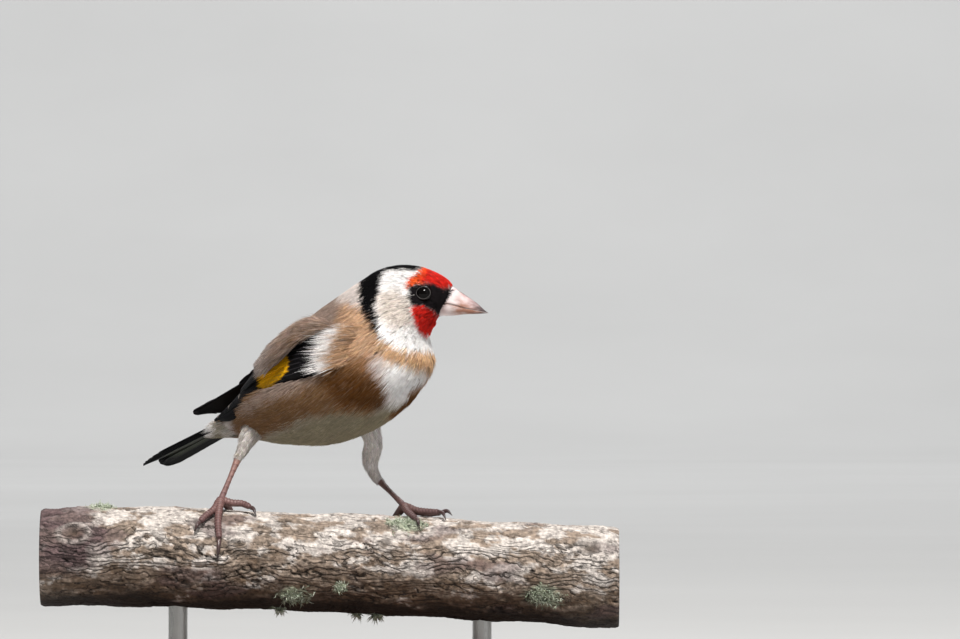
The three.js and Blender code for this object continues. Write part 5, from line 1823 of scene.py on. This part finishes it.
def build_perch(material):
    along, around, end_rings, end_bulge = 372, 184, 16, 0.12
    x = np.linspace(PERCH["from_x"], PERCH["to_x"], along)[:, None]
    x, degrees = floats(x, np.linspace(0, 360, around + 1)[:-1][None, :])
    height, crease_shade, flake, lichen, knot, grit = bark_relief(x, degrees)
    ends = np.minimum(x - PERCH["from_x"], PERCH["to_x"] - x)
    height = np.clip(height, -1.6, 0.75) * smooth(0, 1.2, ends) - 0.35 * (1 - smooth(0, 0.7, ends)) - 0.1
    skin = on_bark(x, degrees, height)
    high = np.cos(np.radians(degrees - 12))
    spot = plain_round(x, degrees)
    crust = rough_noise(spot * (0.12, 0.2, 0.2), 113, 4)
    stain = rough_noise(spot * (0.05, 0.12, 0.12), 127, 3)
    end_stain = smooth(-58, -66, x + 4 * crust) * smooth(-0.3, 0.1, high)
    colours = wash(BARK_BROWN, BARK_SAND, smooth(-0.6, 0.4, high + 0.8 * flake))
    for tone, share in (
        (BARK_PALE, smooth(0.0, 0.5, high + 1.3 * crust + 0.9 * flake - 0.5)),
        (BARK_PLUM, np.clip(smooth(0.25, 0.6, stain) * 0.6 + end_stain * 0.85, 0, 1)),
        (BARK_BROWN * 0.6, np.exp(-(knot / 0.75) ** 2) * 0.8),
        (BARK_PALE, np.exp(-((knot - 0.95) / 0.22) ** 2) * 0.45 * (high > 0)),
        # Creases sunk into the bark are painted near black, as painted shade in them
        (BARK_CREASE_SHADE, 0.9 * np.clip(crease_shade, 0, 1)),
        (BARK_MOSS, lichen * 0.85),
    ):
        colours = wash(colours, tone, share)
    # The bark is painted darker towards its underside, as painted shade under the perch
    shade = mix(0.16, 1.0, smooth(-0.8, -0.35, high + 0.15 * crust))
    colours = colours * (1 + 0.16 * grit)[..., None] * shade[..., None]
    rings, tones = [skin], [colours]
    shrink = np.linspace(0.965, 0.03, end_rings)[:, None]
    growth = np.sin(shrink * 38) * 0.5 + 0.5
    end_tone = mix(CUT_WOOD, CUT_HEART, np.clip(0.55 * growth + 0.5 * (1 - shrink), 0, 1))
    end_tone[0], end_tone[1] = BARK_BROWN * 0.6, BARK_BROWN
    end_tone = np.broadcast_to(end_tone[:, None, :], (end_rings, around, 3))
    for end, at in ((0, PERCH["from_x"]), (-1, PERCH["to_x"])):
        middle = np.array([at, 0.0, float(perch_axis_z(at))])
        face = mix(middle, skin[end][None], shrink[..., None])
        face[..., 0] = at + (end_bulge if end == 0 else -end_bulge) * (1 - shrink)
        rings = [face[::-1]] + rings if end == 0 else rings + [face]
        tones = [end_tone[::-1]] + tones if end == 0 else tones + [end_tone]
    points, faces = closed_tube(np.concatenate(rings))
    colours = np.vstack([np.concatenate(tones).reshape(-1, 3), CUT_HEART, CUT_HEART])
    bark = make_mesh("bark", points, faces, material, np.clip(colours, 0.008, 0.9))
    offset = points[:, 2] - perch_axis_z(points[:, 0])
    reach = np.maximum(np.hypot(points[:, 1], offset), 1e-6)
    paint_points(bark.data, "Turn", np.stack([offset / reach, points[:, 1] / reach, 0 * reach], -1))
    return bark


def build_lichen(material):
    """Small branching tufts of lichen on the bark, with a few that hang below it."""
    heap = Heap()
    for spot_x, spot_angle, reach in LICHENS + SMALL_LICHENS:
        count, hangs = int(34 * reach), reach < 2
        x = spot_x + rng.normal(0, 0.42, count) * reach
        degrees = spot_angle + rng.normal(0, 0.28, count) * reach / PERCH["radius"] * 57
        root = on_bark(x, degrees, -0.1)
        out = unit(on_bark(x, degrees, 1.0) - root)
        side = unit(rng.normal(0, 1, (count, 3)))
        lie = unit(side + out * rng.uniform(0.1, 1.0, (count, 1)) - UP * 0.3 * hangs)
        normal = unit(np.cross(lie, rng.normal(0, 1, (count, 3))))
        size = rng.uniform(0.8, 2.2, count) * (1.5 if hangs else 1.0)
        tone = mix(paint(204, 210, 192), paint(134, 146, 120), rng.uniform(0, 1, (count, 1)))
        add_tufts(heap, root, lie, normal, size, 0.5, tone, in_map(perch_share(x), degrees % 360 / 360),
                  strands=3, spread=0.7, thick=2.4, soft=False)
    return heap.mesh("lichen", material)


# Radii of the plinth's upright corners and of its other edges, in metres
PLINTH_CORNER, PLINTH_EDGE = 0.012, 0.0012


def bevel_edges(mesh_data, is_chosen, radius, segments):
    """Rounds the chosen edges of a mesh that is being edited, with nothing else chosen."""
    bpy.ops.mesh.select_all(action="DESELECT")
    bpy.ops.mesh.select_mode(type="EDGE")
    mesh = bmesh.from_edit_mesh(mesh_data)
    for edge in mesh.edges:
        edge.select = is_chosen(edge)
    bmesh.update_edit_mesh(mesh_data)
    bpy.ops.mesh.bevel(offset=radius, segments=segments, affect="EDGES")


def rise_of(edge):
    return abs(edge.verts[0].co.z - edge.verts[1].co.z)


def is_corner(edge):
    return rise_of(edge) > 0.004


def is_rim(edge):
    level = rise_of(edge) < 1e-5 and len(edge.link_faces) == 2
    return level and any(abs(face.normal.z) < 0.5 for face in edge.link_faces)


def build_stand(wood, metal):
    low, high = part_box("stand_base")
    bpy.ops.object.select_all(action="DESELECT")
    bpy.ops.mesh.primitive_cube_add(size=1.0, location=(low + high) / 2)
    base = bpy.context.object
    base.name = "stand_plinth"
    base.scale = high - low
    bpy.ops.object.transform_apply(location=True, rotation=True, scale=True)
    bpy.ops.object.mode_set(mode="EDIT")
    bevel_edges(base.data, is_corner, PLINTH_CORNER, 16)
    bevel_edges(base.data, is_rim, PLINTH_EDGE, 4)
    bpy.ops.object.mode_set(mode="OBJECT")
    bpy.ops.object.shade_smooth_by_angle(angle=math.radians(30))
    base.data.materials.append(wood)
    pieces = [(base, "stand_base", "stand_wood")]
    for name in ("stand_rod_left", "stand_rod_right"):
        low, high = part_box(name)
        bpy.ops.object.select_all(action="DESELECT")
        bpy.ops.mesh.primitive_cylinder_add(vertices=64, radius=(high.x - low.x) / 2, depth=high.z - low.z,
                                            location=(low + high) / 2)
        rod = bpy.context.object
        rod.name = name.replace("rod", "post")
        bpy.ops.object.transform_apply(location=True, rotation=True, scale=True)
        bpy.ops.object.shade_smooth_by_angle(angle=math.radians(30))
        rod.data.materials.append(metal)
        pieces.append((rod, name, "stand_metal"))
    return pieces


def ride(piece, slot, *nodes):
    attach(piece, "root")
    if nodes:
        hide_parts(*nodes)


def build_all():
    plumage = plumage_material("plumage")
    vanes = vane_material("flight_feathers")
    leg = skin_material("leg_skin", 0.5, 1100.0, 0.8, 1.15, 0.3, 0.0002)
    ride(build_skin(plumage), "plumage_body", "torso", "neck", "head", "thigh_right", "thigh_left")
    for piece in build_coat(plumage):
        ride(piece, "plumage_body")
    ride(build_bristles(plumage), "plumage_body")
    for name, shape in LEGS.items():
        ride(build_thigh_coat(name, shape, plumage), "plumage_body")
    for name in sheets:
        ride(build_shoulder_coat(name, plumage), "plumage_body")
        ride(build_plumes(name, plumage), "plumage_body")
        ride(build_wing(name, vanes), "plumage_flight", f"wing_{name}")
    ride(build_tail(vanes), "plumage_flight", "tail")
    upper, lower = build_bill(horn_material("bill_horn", 0.34))
    ride(upper, "bill_horn", "bill_upper")
    ride(lower, "bill_horn", "bill_lower")
    lid_skin = skin_material("lid_skin", 0.6, 2600.0, 0.75, 1.15, 0.3, 0.0001)
    balls, lids = build_eyes(eye_material(), lid_skin)
    for name, ball in balls.items():
        ride(ball, "eye", f"eye_{name}")
    for lid in lids:
        ride(lid, "leg_skin")
    for piece, nodes in build_legs(leg, horn_material("claw_horn", 0.35)):
        ride(piece, "claw_horn" if piece.name.startswith("claws") else "leg_skin", *nodes)
    bark = bark_material()
    ride(build_perch(bark), "bark", "perch")
    ride(build_lichen(skin_material("lichen", 0.95, 1200.0, 0.75, 1.15, 0.4, 0.0002)), "bark")
    for piece, node, slot in build_stand(wood_material(), metal_material()):
        ride(piece, slot, node)


# Floor, light and camera

# The studio's floor, in metres: its front edge, where it starts to curve up, the radius of that
# curve, the height of the backdrop and half of its width
FLOOR = {"front": -6.0, "curve_from": 4.2, "curve": 2.4, "high": 7.0, "half_width": 8.0}


def build_stage():
    """Plain pale floor that curves up to a backdrop far behind the model."""
    material, tree, shader = new_material("floor")
    share = map_range(tree, noise(tree, 3.0), 0.3, 0.7)
    colour = blend_colour(tree, "MIX", share, (0.5, 0.5, 0.495), (0.53, 0.53, 0.525))
    give(shader, {"Base Color": colour, "Roughness": 0.9})
    start, radius, half = FLOOR["curve_from"], FLOOR["curve"], FLOOR["half_width"]
    turns = np.radians(np.linspace(0, 90, 33))
    curve = [(start + radius * math.sin(turn), radius - radius * math.cos(turn)) for turn in turns]
    profile = [(FLOOR["front"], 0.0), *curve, (start + radius, FLOOR["high"])]
    points = np.array([(x, y, z) for y, z in profile for x in (-half, half)]) / MM
    faces = [(2 * i, 2 * i + 1, 2 * i + 3, 2 * i + 2) for i in range(len(profile) - 1)]
    floor = make_mesh("floor", points, faces, material)


# Lights: name, place and the place that it faces in metres, size, power and colour. The last three
# face away from the model and light the far floor and the backdrop evenly.
MODEL_MIDDLE = (0.0, 0.0, 0.08)
LIGHTS = [
    ("key", (0.1, -1.25, 1.7), MODEL_MIDDLE, 0.4, 63.0, (1.0, 0.975, 0.94)),
    ("fill", (1.5, -1.2, 0.9), MODEL_MIDDLE, 2.4, 6.0, (0.94, 0.97, 1.0)),
    ("rim", (0.3, 1.1, 1.6), MODEL_MIDDLE, 0.6, 10.0, (1.0, 1.0, 1.0)),
    ("far_floor_light", (0.0, 2.2, 2.6), (0.0, 4.6, 0.6), 2.0, 54.0, (1.0, 1.0, 1.0)),
    ("backdrop_low_light", (0.0, 3.2, 2.6), (0.0, 5.4, 0.6), 2.0, 31.0, (1.0, 1.0, 1.0)),
    ("backdrop_high_light", (0.0, 4.2, 2.5), (0.0, 6.5, 1.2), 1.6, 24.0, (1.0, 1.0, 1.0)),
]

# The camera's distance in metres, and the width of its sensor
CAMERA_DISTANCE, SENSOR = 2.5, 36.0


def build_light_and_camera():
    scene = bpy.context.scene
    for name, place, target, size, power, colour in LIGHTS:
        light = bpy.data.lights.new(name, "AREA")
        light.shape, light.size, light.energy, light.color = "DISK", size, power, colour
        lamp = bpy.data.objects.new(name, light)
        lamp.location = place
        lamp.rotation_euler = (Vector(target) - Vector(place)).to_track_quat("-Z", "Y").to_euler()
        scene.collection.objects.link(lamp)
    world = bpy.data.worlds.new("studio")
    scene.world = world
    world.use_nodes = True
    give(world.node_tree.nodes["Background"], {"Color": (0.93, 0.96, 1.0), "Strength": 0.24})
    lens = bpy.data.cameras.new("camera")
    lens.sensor_width = SENSOR
    lens.lens = SENSOR * CAMERA_DISTANCE / (FRAME_WIDTH / PIXELS * MM)
    lens.clip_end = 20.0
    camera = bpy.data.objects.new("camera", lens)
    middle_x = (FRAME_X - PIXEL_X) / PIXELS * MM
    middle_z = (PLACE_Z + (PIXEL_Z - FRAME_Z) / PIXELS) * MM
    camera.location = (middle_x, -CAMERA_DISTANCE, middle_z)
    camera.rotation_euler = (math.radians(90), 0, 0)
    scene.collection.objects.link(camera)
    scene.camera = camera
    scene.view_settings.view_transform = "Standard"


build_all()
build_stage()
build_light_and_camera()
